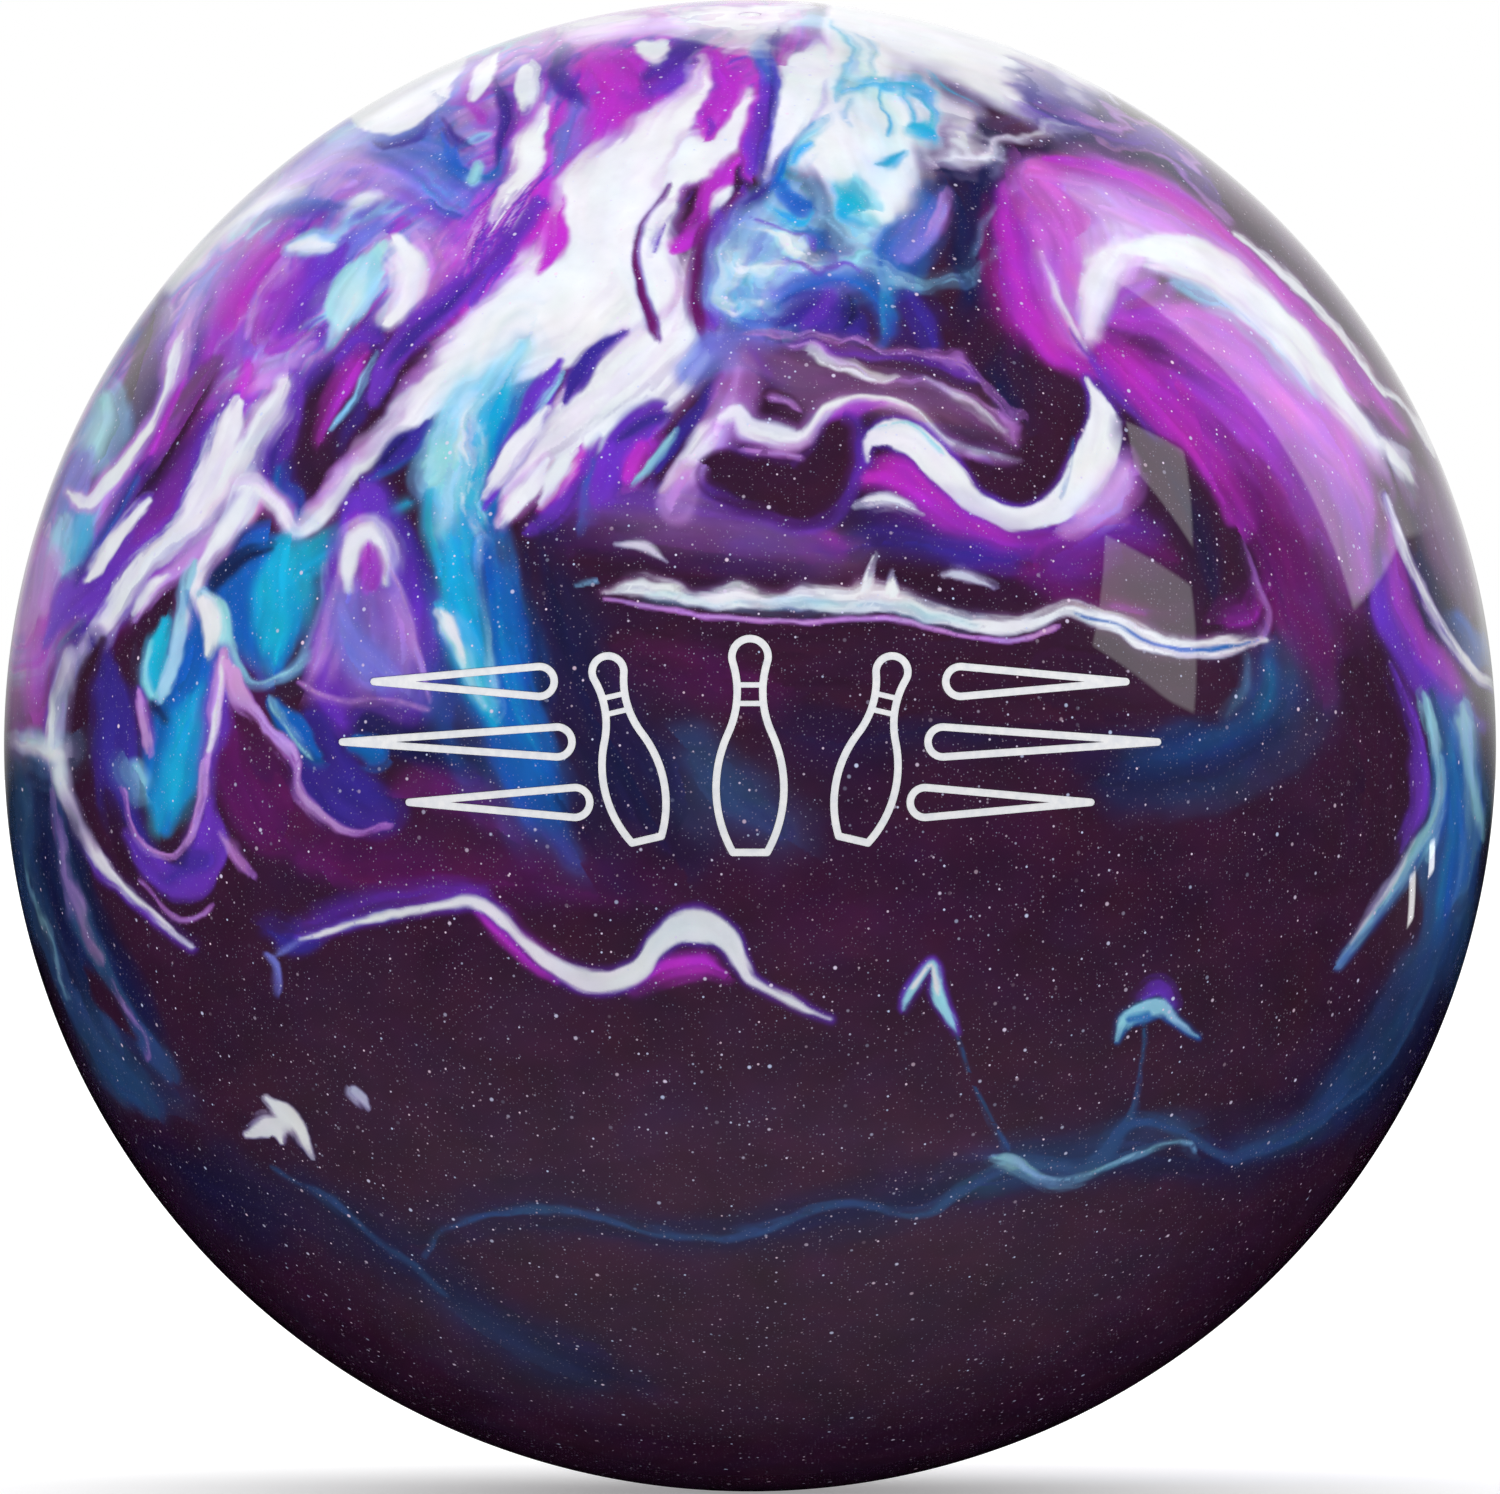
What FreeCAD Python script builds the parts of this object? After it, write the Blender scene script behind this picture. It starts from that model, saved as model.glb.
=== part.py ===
"""An undrilled bowling ball of three-piece construction, one STEP file per piece.

A dense pancake weight block sits in a pocket at the top of a light inner core. The coverstock is cast round
both. A resin pin plug fills the hole of the rod that held the core centred in the mould. The emblem and the
centre-of-gravity mark are shallow engravings filled with white enamel.

Millimetres. The origin is the ball's centre, +Z points to the pin plug and the emblem faces -Y.
"""

import FreeCAD
import Part

import math
import os

INCH = 25.4

# Ball and its layers
BALL_D = 8.55 * INCH  # inside the 8.500 to 8.595 in that the rules of the sport allow
COVER_THICKNESS = 1.0 * INCH
BALL_R = BALL_D / 2
CORE_R = BALL_R - COVER_THICKNESS

# Weight block: a pancake, flush with the top of the inner core, keyed into it by a groove round its rim
BLOCK_R = 38.0
BLOCK_BOTTOM_Z = CORE_R - 21.0
BLOCK_CHAMFER = 2.0
KEY_DEPTH = 1.6
KEY_HEIGHT = 3.2

# Pin plug
PLUG_R = 7 / 16 * INCH / 2
PLUG_SOCKET = 9.5  # how far the plug reaches into the weight block

# Engraving
GROOVE_DEPTH = 0.60
ENAMEL_RECESS = 0.12  # the enamel's face lies this far under the ball's surface
LINE_W = 1.05
CG_MARK_R = 1.5
CG_FROM_PIN = 1.0 * INCH  # along the surface, towards the emblem
PAST_SKIN = BALL_R + 5  # how far from the ball's middle plane or centre a cutter reaches

# Emblem: three outlined pins with speed streaks on both sides
PIN_H = 30.0
SIDE_PIN_SCALE = 0.88
SIDE_PIN_X = 14.5
SIDE_PIN_TILT = 13.0  # degrees
STREAK_R = 2.1
STREAKS = (  # name, height above the emblem's centre, inner end, tip
    ("upper", 9.0, 27.5, 53.0),
    ("middle", 0.5, 25.0, 57.5),
    ("lower", -8.0, 22.5, 48.0),
)

# A tenpin's outline, in inches of its 15 in height
TENPIN_H = 15.0
BELLY_HALF_W = 2.38
BELLY_Z = 4.5
BASE_HALF_W = 1.2
HEAD_R = 1.27
NECK_R = 7.0
NECK_STRIPES = (10.45, 11.75)
STRIPE_W = 0.75  # mm


def vec(x, z, y=0.0):
    """A point of the emblem's plane, which is XZ."""
    return FreeCAD.Vector(x, y, z)


def on_circle(centre, radius, towards):
    """The point of a circle that lies towards another point."""
    return centre + (towards - centre).normalize() * radius


def tenpin_wire(height):
    """A pin's closed outline, standing on the plane's origin. Belly, neck and head are tangent arcs."""
    belly_r = (BELLY_Z**2 + (BELLY_HALF_W - BASE_HALF_W) ** 2) / (2 * (BELLY_HALF_W - BASE_HALF_W))
    belly = vec(BELLY_HALF_W - belly_r, BELLY_Z)
    head = vec(0, TENPIN_H - HEAD_R)
    # The neck's centre is NECK_R outside both the belly's circle and the head's.
    from_belly, from_head = belly_r + NECK_R, HEAD_R + NECK_R
    apart = (head - belly).Length
    along = (from_belly**2 - from_head**2 + apart**2) / (2 * apart)
    aside = math.sqrt(from_belly**2 - along**2)
    line = (head - belly).normalize()
    neck = belly + line * along + vec(line.z, -line.x) * aside
    foot = vec(BASE_HALF_W, 0)
    waist = on_circle(belly, belly_r, neck)
    collar = on_circle(head, HEAD_R, neck)
    crown = vec(0, TENPIN_H)
    right = [
        Part.LineSegment(vec(0, 0), foot),
        Part.Arc(foot, vec(BELLY_HALF_W, BELLY_Z), waist),
        Part.Arc(waist, on_circle(neck, NECK_R, (waist + collar) / 2), collar),
        Part.Arc(collar, on_circle(head, HEAD_R, (collar + crown) / 2), crown),
    ]
    half = Part.Wire([curve.toShape() for curve in right])
    other = half.mirror(vec(0, 0), FreeCAD.Vector(1, 0, 0))
    wire = Part.Wire(Part.__sortEdges__(half.Edges + other.Edges))
    return wire.scale(height / TENPIN_H)


def streak_wire(inner_x, tip_x, z):
    """A teardrop's closed outline, blunt at inner_x and pointed at tip_x."""
    centre = inner_x + STREAK_R
    reach = tip_x - centre
    touch = math.acos(STREAK_R / reach)
    upper = vec(centre + STREAK_R * math.cos(touch), z + STREAK_R * math.sin(touch))
    lower = vec(upper.x, 2 * z - upper.z)
    tip = vec(tip_x, z)
    blunt = Part.Arc(upper, vec(inner_x, z), lower)
    return Part.Wire([blunt.toShape(), Part.makeLine(lower, tip), Part.makeLine(tip, upper)])


def prism(face):
    """A flat face of the emblem's plane, drawn out through the ball's skin on the emblem's side."""
    return face.extrude(FreeCAD.Vector(0, -PAST_SKIN, 0))


def line_prism(wire):
    """The cutter for an engraved line that follows a closed outline."""
    outer = Part.Face(wire.makeOffset2D(LINE_W / 2))
    inner = Part.Face(wire.makeOffset2D(-LINE_W / 2))
    return prism(outer.cut(inner).Faces[0])


def tenpin_prism(height):
    """The cutter for a pin's outline and the two stripes round its neck."""
    wire = tenpin_wire(height)
    inside = Part.Face(wire)
    cutter = line_prism(wire)
    for stripe_z in NECK_STRIPES:
        z = stripe_z * height / TENPIN_H
        corner = vec(-height, z - STRIPE_W / 2)
        bar = Part.makePlane(2 * height, STRIPE_W, corner, FreeCAD.Vector(0, -1, 0), FreeCAD.Vector(1, 0, 0))
        cutter = cutter.fuse(prism(bar.common(inside).Faces[0]))
    return cutter.removeSplitter()


def emblem_cutters():
    """Each engraved shape of the emblem as (node name, cutter), about the emblem's centre."""
    centre = tenpin_prism(PIN_H)
    centre.translate(vec(0, -PIN_H / 2))
    cutters = [("emblem_pin_centre", centre)]
    for side, sign in (("left", -1), ("right", 1)):
        height = PIN_H * SIDE_PIN_SCALE
        cutter = tenpin_prism(height)
        cutter.rotate(vec(0, 0), FreeCAD.Vector(0, 1, 0), sign * SIDE_PIN_TILT)
        cutter.translate(vec(sign * SIDE_PIN_X, -height / 2))
        cutters.append((f"emblem_pin_{side}", cutter))
    for name, z, inner_x, tip_x in STREAKS:
        right = line_prism(streak_wire(inner_x, tip_x, z))
        cutters.append((f"emblem_streak_{name}_right", right))
        left = right.mirror(vec(0, 0), FreeCAD.Vector(1, 0, 0))
        cutters.append((f"emblem_streak_{name}_left", left))
    return cutters


def layer(inner_r, outer_r):
    """The space between two spheres about the ball's centre."""
    return Part.makeSphere(outer_r).cut(Part.makeSphere(inner_r))


def cg_mark_cutter():
    """The cutter for the round mark, which lies on the surface a set distance from the pin plug."""
    angle = CG_FROM_PIN / BALL_R
    outwards = vec(0, math.cos(angle), -math.sin(angle))
    return Part.makeCylinder(CG_MARK_R, PAST_SKIN, vec(0, 0), outwards)


def weight_block_profile():
    """The weight block's half section, in XZ."""
    top_z = math.sqrt(CORE_R**2 - BLOCK_R**2)
    key_z = (top_z + BLOCK_BOTTOM_Z) / 2
    key_half = KEY_HEIGHT / 2
    rim = [
        vec(BLOCK_R, top_z),
        vec(BLOCK_R, key_z + key_half),
        vec(BLOCK_R - KEY_DEPTH, key_z + key_half - KEY_DEPTH / 2),
        vec(BLOCK_R - KEY_DEPTH, key_z - key_half + KEY_DEPTH / 2),
        vec(BLOCK_R, key_z - key_half),
        vec(BLOCK_R, BLOCK_BOTTOM_Z + BLOCK_CHAMFER),
        vec(BLOCK_R - BLOCK_CHAMFER, BLOCK_BOTTOM_Z),
        vec(0, BLOCK_BOTTOM_Z),
        vec(0, CORE_R),
    ]
    half_angle = math.asin(BLOCK_R / CORE_R) / 2
    crown = vec(CORE_R * math.sin(half_angle), CORE_R * math.cos(half_angle))
    edges = [Part.makeLine(a, b) for a, b in zip(rim, rim[1:])]
    edges.append(Part.Arc(rim[-1], crown, rim[0]).toShape())
    return Part.Wire(Part.__sortEdges__(edges))


def weight_block_solid():
    section = Part.Face(weight_block_profile())
    return section.revolve(vec(0, 0), vec(0, 1), 360)


def plug_solid():
    """The pin plug: flat at the bottom of its socket, and turned to the ball's surface at its outer end."""
    foot_z = CORE_R - PLUG_SOCKET
    rod = Part.makeCylinder(PLUG_R, BALL_R - foot_z + 5, vec(0, foot_z), vec(0, 1))
    return rod.common(Part.makeSphere(BALL_R))


def build():
    """Every piece as (node name, solid)."""
    block = weight_block_solid()
    plug = plug_solid()
    cutters = [*emblem_cutters(), ("cg_mark", cg_mark_cutter())]
    skin = layer(BALL_R - GROOVE_DEPTH, BALL_R + 1)
    enamel = layer(BALL_R - GROOVE_DEPTH, BALL_R - ENAMEL_RECESS)
    cover = layer(CORE_R, BALL_R).cut(plug)
    fills = []
    for name, cutter in cutters:
        cover = cover.cut(cutter.common(skin))
        fills.append((f"{name}_enamel", cutter.common(enamel)))
    core = Part.makeSphere(CORE_R).cut(block)
    return [
        ("coverstock", cover),
        ("inner_core", core),
        ("weight_block", block.cut(plug)),
        ("pin_plug", plug),
        *fills,
    ]


def main():
    os.makedirs("parts", exist_ok=True)
    for name, shape in build():
        solids = shape.Solids
        shape = solids[0] if len(solids) == 1 else Part.makeCompound(solids)
        shape.exportStep(f"parts/{name}.step")
        print(f"{name}: {len(solids)} solid, valid {shape.isValid()}, {shape.Volume / 1000:.3f} cm3")


main()
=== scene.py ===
import math

import bmesh
import bpy
import numpy as np
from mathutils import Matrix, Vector
from mathutils.bvhtree import BVHTree


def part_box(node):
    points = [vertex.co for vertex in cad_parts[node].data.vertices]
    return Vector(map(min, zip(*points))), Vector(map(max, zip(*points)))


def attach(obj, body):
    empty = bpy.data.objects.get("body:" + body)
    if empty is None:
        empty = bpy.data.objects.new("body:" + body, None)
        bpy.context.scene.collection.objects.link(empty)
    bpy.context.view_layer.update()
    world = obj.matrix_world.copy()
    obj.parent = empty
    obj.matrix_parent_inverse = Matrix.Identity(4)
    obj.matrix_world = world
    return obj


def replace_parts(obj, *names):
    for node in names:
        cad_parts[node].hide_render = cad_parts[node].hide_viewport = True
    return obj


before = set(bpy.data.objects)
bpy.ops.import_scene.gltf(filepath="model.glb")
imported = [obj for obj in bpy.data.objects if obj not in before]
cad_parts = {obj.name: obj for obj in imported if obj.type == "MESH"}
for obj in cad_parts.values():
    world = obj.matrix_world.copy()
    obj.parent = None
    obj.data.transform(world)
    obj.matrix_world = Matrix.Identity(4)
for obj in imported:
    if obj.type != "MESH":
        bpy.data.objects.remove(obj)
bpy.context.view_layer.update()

BALL_R = -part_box("coverstock")[0].z
CORE_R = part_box("inner_core")[1].z
MM = 0.001  # the script's lengths are metres

# ---- the view
VIEW_DISTANCE = 27.0  # from the ball's centre to the camera, in ball radii
FRAME_FILL = 0.99467  # the ball's outline, as a share of half the picture's width
SHIFT_Y = -0.001  # the camera's shift, in frame widths
TAN_RIM = 1 / math.sqrt(VIEW_DISTANCE**2 - 1)
RIM_ANGLE = math.acos(1 / VIEW_DISTANCE)
SENSOR = 36.0
LAMP_EDGE = 0.006  # how soft the lamps' edges are

# ---- the marbling, whose lengths are in ball radii and whose strokes are in thousandths of one
LATTICE = 32  # how many cells the noise has to a side before it repeats
NOISE_GAIN = 1.7  # brings it to about -1 to 1
BATCH = 50000  # how many points are measured at once
MILLI = 0.001
SAMPLE_STEP = 0.008  # between the knots of a stroke's path
SHARPNESS = 1.4  # how far the strongest pigment wins where several mix
SWELL = 0.3  # how much a stroke's width comes and goes
THREAD = 0.17  # how much the fine threads lighten or darken a pigment
DRIFT = 0.16  # how much its red, green and blue wander
CALM = 0.72  # how much less of both the white takes
SWELL_PACE = (9, 0.6, 0.37)  # how fast it does so along, from side to side and from stroke to stroke
TAPER, BLUNT = 2.0, 0.45  # how many half widths from its ends a long stroke narrows, and to what share
LONG = 5.0  # how many half widths a stroke has to be before it narrows
FRINGE = 0.55  # how far an edge frays, as a share of its softness
FRINGE_SIZE = (14, 2)  # how long and wide its tufts are, in its softness
LEAN_TURN = 2.4  # how far, in radians, the softer side turns from stroke to stroke
LEAN = 1.6  # how much softer the edge is there
EDGE_REACH = 1.6  # how far past its width a stroke can fray, in its softness
HALO_REACH = 1.5  # how far a halo reaches, in the width it is given
MARGIN = 0.02  # how far past its own reach a stroke looks for points, for the warps
THREAD_PACE = (6, 70)  # how fast the threads change along and across a stroke
LOOSE_PACE = (9, 9, 16)  # and in x, y and z where no stroke draws them out
WARPS = ((7, 0.007, 0), (20, 0.003, 9), (55, 0.0011, 3))  # how often and how far, and a shift between them
PIGMENTS = {  # sRGB, 0 to 255
    "plum": (57, 23, 54), "wine": (104, 20, 104), "violet": (108, 50, 194), "indigo": (58, 40, 150),
    "magenta": (190, 44, 206), "lilac": (200, 150, 230), "navy": (22, 28, 76), "blue": (12, 98, 194),
    "cyan": (14, 176, 228), "sky": (156, 216, 242), "white": (240, 242, 250), "mauve": (112, 72, 122),
    "periwinkle": (116, 118, 218), "orchid": (168, 62, 204), "pink": (204, 104, 216), "denim": (44, 78, 132),
}
NAMES = list(PIGMENTS)
DARK = ("plum", "wine", "navy", "indigo")
VEILS = (("white", "violet"), ("sky", "blue"), ("lilac", "orchid"))  # what pale pigments thin to over those
VEIL = 2.2  # how strong the thinned pigment is
FAR_TWIST = 2.7  # how far, in radians, the middle of the far side is twisted
FAR_SWIRL = 0.4  # how far its swirls carry the marbling

# ---- the cover's mesh
FIRST_CUT = 7  # subdivisions of the icosphere that the cover is refined from
FINE_EDGE, FINEST_EDGE, GROOVE_EDGE = 0.40 * MM, 0.20 * MM, 0.10 * MM
COLOUR_CUTS = ((FINE_EDGE, 0.015), (FINEST_EDGE, 0.05))  # the length and change of colour an edge is cut at
GROOVE_REACH = 0.45 * MM  # how far from a fill the mesh is fine
GROOVE_LIP = 0.09 * MM  # how far from a fill its groove's wall reaches
GROOVE_FLOOR = 0.34 * MM  # how deep the groove is
RECESS = 0.12 * MM  # how far the fills' faces lie below the cover's


# ---------------------------------------------------------------- noise and paths
def gradient_table(seed):
    """Random unit vectors, one for each corner of the noise's lattice."""
    vectors = np.random.default_rng(seed).normal(size=(LATTICE**3, 3)).astype(np.float32)
    return vectors / np.linalg.norm(vectors, axis=1, keepdims=True)


TABLES = [gradient_table(seed) for seed in range(3)]


def noise(points, seed=0):
    """Smooth noise, about -1 to 1, at each point."""
    cell = np.floor(points).astype(np.int32)
    part = (points - cell).astype(np.float32)
    ease = part**3 * (part * (part * 6 - 15) + 10)
    total = np.zeros(len(points), np.float32)
    for corner in np.ndindex(2, 2, 2):
        corner = np.array(corner, np.int32)
        index = (cell + corner) % LATTICE
        slope = TABLES[seed][(index[:, 0] * LATTICE + index[:, 1]) * LATTICE + index[:, 2]]
        weight = np.where(corner, ease, 1 - ease).prod(axis=1)
        total += weight * ((part - corner) * slope).sum(axis=1)
    return total * NOISE_GAIN


def wander(points):
    """Three smooth noises at each point, as a vector."""
    return np.stack([noise(points, seed) for seed in range(3)], axis=1)


def stretched(along, across, apart):
    """Places in the noise for pairs of lengths, in the slice of it that apart picks."""
    return np.stack([along, across, np.full(len(along), apart)], axis=1)


def smooth(x):
    """Eases from 0 to 1 as x does."""
    x = np.clip(x, 0, 1)
    return x * x * (3 - 2 * x)


def face_coordinates(points):
    """Where each point of the unit sphere is seen from the front: the rim is at 1, the far side past it."""
    x, y, z = points.T
    front = 1 / ((VIEW_DISTANCE + y) * TAN_RIM)
    across = np.maximum(np.hypot(x, z), 1e-9)
    back = (1 + (np.arccos(np.clip(-y, -1, 1)) - RIM_ANGLE) / (math.pi / 2)) / across
    return np.stack([x, z], axis=1) * np.where(y < -1 / VIEW_DISTANCE, front, back)[:, None]


def curve_through(points):
    """A smooth path through rows of (x, y, half width)."""
    points = np.asarray(points, float) * MILLI
    padded = np.vstack([2 * points[0] - points[1], points, 2 * points[-1] - points[-2]])
    rows = []
    for i in range(1, len(padded) - 2):
        a, b, c, d = padded[i - 1: i + 3]
        count = max(2, int(math.hypot(*(c - b)[:2]) / SAMPLE_STEP))
        t = np.linspace(0, 1, count, endpoint=False)[:, None]
        rows.append(b + 0.5 * t * (c - a + t * (2 * a - 5 * b + 4 * c - d + t * (3 * (b - c) + d - a))))
    rows.append(points[-1:])
    return np.vstack(rows).astype(np.float32)


def measure(spots, path):
    """Each spot's distance from the path, its side, how far along it lies, and the half width there."""
    knots, widths = path[:, :2], path[:, 2]
    step = knots[1:] - knots[:-1]
    length = np.linalg.norm(step, axis=1)
    start = np.concatenate([[0], np.cumsum(length)])[:-1].astype(np.float32)
    nearest = np.empty(len(spots), np.int64)
    for i in range(0, len(spots), BATCH):
        some = spots[i:i + BATCH]
        nearest[i:i + BATCH] = ((knots**2).sum(axis=1) - 2 * some @ knots.T).argmin(axis=1)
    best = None
    for shift in (-1, 0):
        j = np.clip(nearest + shift, 0, len(step) - 1)
        offset = spots - knots[j]
        t = np.clip((offset * step[j]).sum(axis=1) / np.maximum(length[j]**2, 1e-12), 0, 1)
        away = offset - step[j] * t[:, None]
        side = np.sign(step[j, 0] * away[:, 1] - step[j, 1] * away[:, 0])
        width = widths[j] + (widths[j + 1] - widths[j]) * t
        found = (np.linalg.norm(away, axis=1), side, start[j] + t * length[j], width)
        if best is None:
            best = found
        else:
            best = tuple(np.where(found[0] < best[0], new, old) for new, old in zip(found, best))
    return best


# ---------------------------------------------------------------- the marbling's strokes
STROKES = []


def lay(pigment, *points, soft=5, op=1.0, streak=0.0, grain=(80, 8), halo=None, rag=1.0, seed=0):
    """Adds a stroke to the list. Its pigment is one, or a run of them that grain draws out along the stroke.
    Its points are (x, y, half width), soft is its edge's width, op its strength, streak how far threads thin
    it, and halo a pigment and how far that spreads round it. rag is how ragged it is, and seed picks other
    noise for its grain."""
    STROKES.append({"pigment": pigment, "points": points, "soft": soft, "op": op, "streak": streak,
                    "grain": grain, "halo": halo, "rag": rag, "seed": seed})


HAZE = ("periwinkle", "lilac", "violet", "orchid", "periwinkle", "lilac", "sky", "periwinkle")


def upper_left():
    """The pale violet shoulder, the two lobes under it and the dark blob beside them."""
    lay(HAZE, (-979, 141, 94), (-845, 396, 121), (-670, 637, 161), (-442, 825, 161), (-201, 932, 121),
        soft=60, grain=(255, 67), seed=1)
    lay("orchid", (-704, 611, 54), (-731, 490, 54), (-764, 369, 54), (-845, 249, 46), (-925, 168, 40),
        soft=46)
    lay("magenta", (-965, 249, 54), (-976, 141, 54), (-965, 48, 43), soft=27, op=0.62)
    lay("periwinkle", (-603, 758, 32), (-536, 798, 46), (-456, 785, 54), (-399, 731, 46), soft=40, op=0.95)
    lay("blue", (-534, 812, 8), (-496, 801, 13), (-453, 808, 19), (-416, 798, 19), (-386, 761, 19), soft=19,
        op=0.55, streak=0.4, grain=(80, 13))
    lay("lilac", (-654, 731, 16), (-603, 755, 21), (-543, 788, 16), (-496, 774, 13), soft=24, op=0.75)
    lay("white", (-780, 617, 11), (-731, 671, 20), (-668, 718, 19), (-603, 750, 13), soft=17, op=0.95)
    lay("white", (-794, 597, 7), (-788, 573, 9), (-783, 550, 5), soft=12, op=0.7)
    lay("white", (-534, 863, 19), (-489, 860, 43), (-442, 881, 40), (-399, 916, 19))
    lay("indigo", (-501, 808, 3), (-476, 808, 5), (-442, 822, 4), (-429, 841, 3), op=0.8)
    lay("sky", (-563, 812, 7), (-543, 820, 11), (-525, 828, 7), soft=12, op=0.6)
    lay("lilac", (-547, 721, 7), (-520, 737, 16), (-485, 745, 16), (-458, 731, 11), soft=19, op=0.95)
    lay("white", (-543, 718, 4), (-520, 731, 8), (-493, 737, 5), soft=11, op=0.8)
    lay("violet", (-462, 745, 13), (-429, 715, 21), (-402, 684, 16), soft=21, op=0.45)
    lay("cyan", (-436, 778, 9), (-416, 745, 16), (-395, 715, 16), (-378, 702, 11), soft=19, op=0.5,
        streak=0.7, grain=(67, 8), rag=2)
    lay("blue", (-429, 731, 4), (-405, 707, 7), (-378, 696, 5), op=0.7, rag=2)
    lay("blue", (-654, 694, 9), (-623, 712, 13), (-590, 723, 16), (-552, 721, 12), soft=13, op=0.75)
    lay("violet", (-614, 710, 7), (-587, 712, 9), (-563, 702, 7), soft=12, op=0.5)
    lay("sky", (-668, 678, 8), (-654, 691, 8), (-641, 702, 5), soft=9, op=0.75)
    lay("periwinkle", (-543, 664, 19), (-516, 688, 21), (-496, 702, 13), soft=17, op=0.9)
    lay("violet", (-550, 670, 16), (-579, 640, 32), (-617, 597, 36), (-641, 550, 21), soft=17, op=0.95)
    lay("indigo", (-563, 648, 7), (-574, 617, 9), (-590, 584, 8), soft=16, op=0.4)
    lay("orchid", (-633, 631, 16), (-654, 584, 20), (-660, 544, 13), soft=19, op=0.7)
    lay("magenta", (-619, 680, 11), (-654, 648, 19), (-678, 611, 19), (-697, 562, 16), soft=17, op=0.95)
    lay("lilac", (-619, 648, 5), (-649, 619, 5), (-668, 586, 5), (-674, 550, 4), soft=9, op=0.7)
    lay("sky", (-622, 664, 7), (-597, 672, 12), (-570, 678, 12), (-543, 694, 7), soft=9, op=0.95)
    lay("white", (-617, 664, 4), (-595, 671, 8), (-568, 675, 7), soft=8, op=0.85)
    lay("periwinkle", (-708, 640, 12), (-732, 611, 17), (-751, 573, 15), (-761, 537, 8), soft=16, op=0.8)
    lay("indigo", (-721, 597, 5), (-737, 557, 11), (-751, 510, 11), (-761, 474, 5), soft=12, op=0.55)
    lay("lilac", (-740, 597, 5), (-751, 568, 7), (-760, 544, 4), soft=9, op=0.8)
    lay("sky", (-496, 667, 13), (-515, 631, 29), (-542, 586, 27), (-568, 530, 9), soft=7)
    lay("white", (-520, 624, 11), (-539, 586, 15), (-558, 549, 7), soft=16, op=0.55)
    lay("lilac", (-445, 678, 11), (-429, 637, 23), (-442, 597, 16), soft=21, op=0.9)
    lay("white", (-477, 670, 11), (-458, 635, 23), (-466, 595, 19), (-488, 568, 11), soft=9)
    lay("violet", (-603, 537, 13), (-582, 550, 21), (-574, 527, 12), soft=15, op=0.6)
    lay("plum", (-791, 608, 5), (-802, 557, 19), (-815, 490, 25), (-842, 430, 27), (-877, 359, 16), soft=15,
        op=0.92, halo=("violet", 16))
    lay("blue", (-818, 573, 5), (-826, 554, 9), (-834, 537, 5), soft=11, op=0.5)
    lay("sky", (-866, 466, 13), (-866, 431, 23), (-882, 396, 19), soft=16, op=0.95)
    lay("periwinkle", (-893, 389, 13), (-912, 349, 19), (-922, 322, 13), soft=16, op=0.9)
    lay("cyan", (-893, 322, 12), (-905, 282, 24), (-917, 242, 16), soft=13, op=0.75)
    lay("sky", (-917, 302, 11), (-925, 259, 13), (-917, 233, 9), soft=9, op=0.8)
    lay("lilac", (-938, 249, 16), (-952, 195, 13), soft=19, op=0.7)
    lay("violet", (-731, 430, 27), (-783, 322, 35), (-847, 254, 29), (-909, 200, 24), (-945, 141, 19),
        soft=13)
    lay("wine", (-729, 436, 16), (-764, 372, 24), (-818, 289, 19), soft=16, op=0.6)
    lay("plum", (-718, 501, 12), (-756, 430, 16), (-796, 369, 15), (-834, 313, 8), soft=12, op=0.9)
    lay("mauve", (-721, 514, 5), (-743, 485, 9), (-767, 458, 8), (-777, 447, 4), soft=8, op=0.85)
    lay("magenta", (-759, 501, 4), (-783, 436, 5), (-820, 356, 5), (-847, 309, 4), soft=7, op=0.8)
    lay("magenta", (-743, 369, 16), (-784, 302, 16), (-834, 254, 11), soft=16, op=0.35)
    lay("indigo", (-804, 389, 7), (-838, 322, 9), (-874, 269, 9), (-905, 215, 7), soft=7, op=0.8)
    lay("blue", (-818, 359, 4), (-847, 309, 5), (-882, 259, 5), soft=7, op=0.7)
    lay("lilac", (-753, 557, 4), (-767, 527, 8), (-780, 483, 5), soft=7, op=0.9)
    lay("white", (-756, 552, 3), (-772, 517, 5), (-791, 468, 4), (-815, 418, 4), (-847, 364, 8),
        (-882, 329, 9), (-912, 340, 5), soft=4, streak=0.3, grain=(80, 5), halo=("lilac", 8))
    lay("white", (-804, 329, 4), (-834, 293, 9), (-865, 257, 9), (-891, 222, 5), soft=4, halo=("violet", 9))
    lay("wine", (-818, 195, 5), (-871, 141, 21), (-917, 88, 24), (-952, 48, 21), soft=16, op=0.7)
    lay("lilac", (-592, 537, 11), (-617, 514, 21), (-654, 498, 19), (-684, 474, 16), soft=15, op=0.95)
    lay("magenta", (-674, 510, 11), (-681, 485, 13), (-694, 460, 11), soft=12, op=0.75)
    lay("orchid", (-643, 527, 5), (-617, 538, 7), (-598, 546, 5), soft=7, op=0.8)
    lay("white", (-689, 458, 16), (-708, 401, 23), (-732, 345, 19), (-767, 289, 13), (-822, 239, 11),
        (-855, 192, 11), (-882, 137, 11), (-908, 74, 11), (-925, 23, 16), (-928, -26, 16), (-914, -81, 12),
        (-885, -140, 8), (-838, -188, 5), (-791, -231, 3), (-744, -266, 1), soft=3, streak=0.12,
        grain=(107, 7), halo=("violet", 11))
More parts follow.
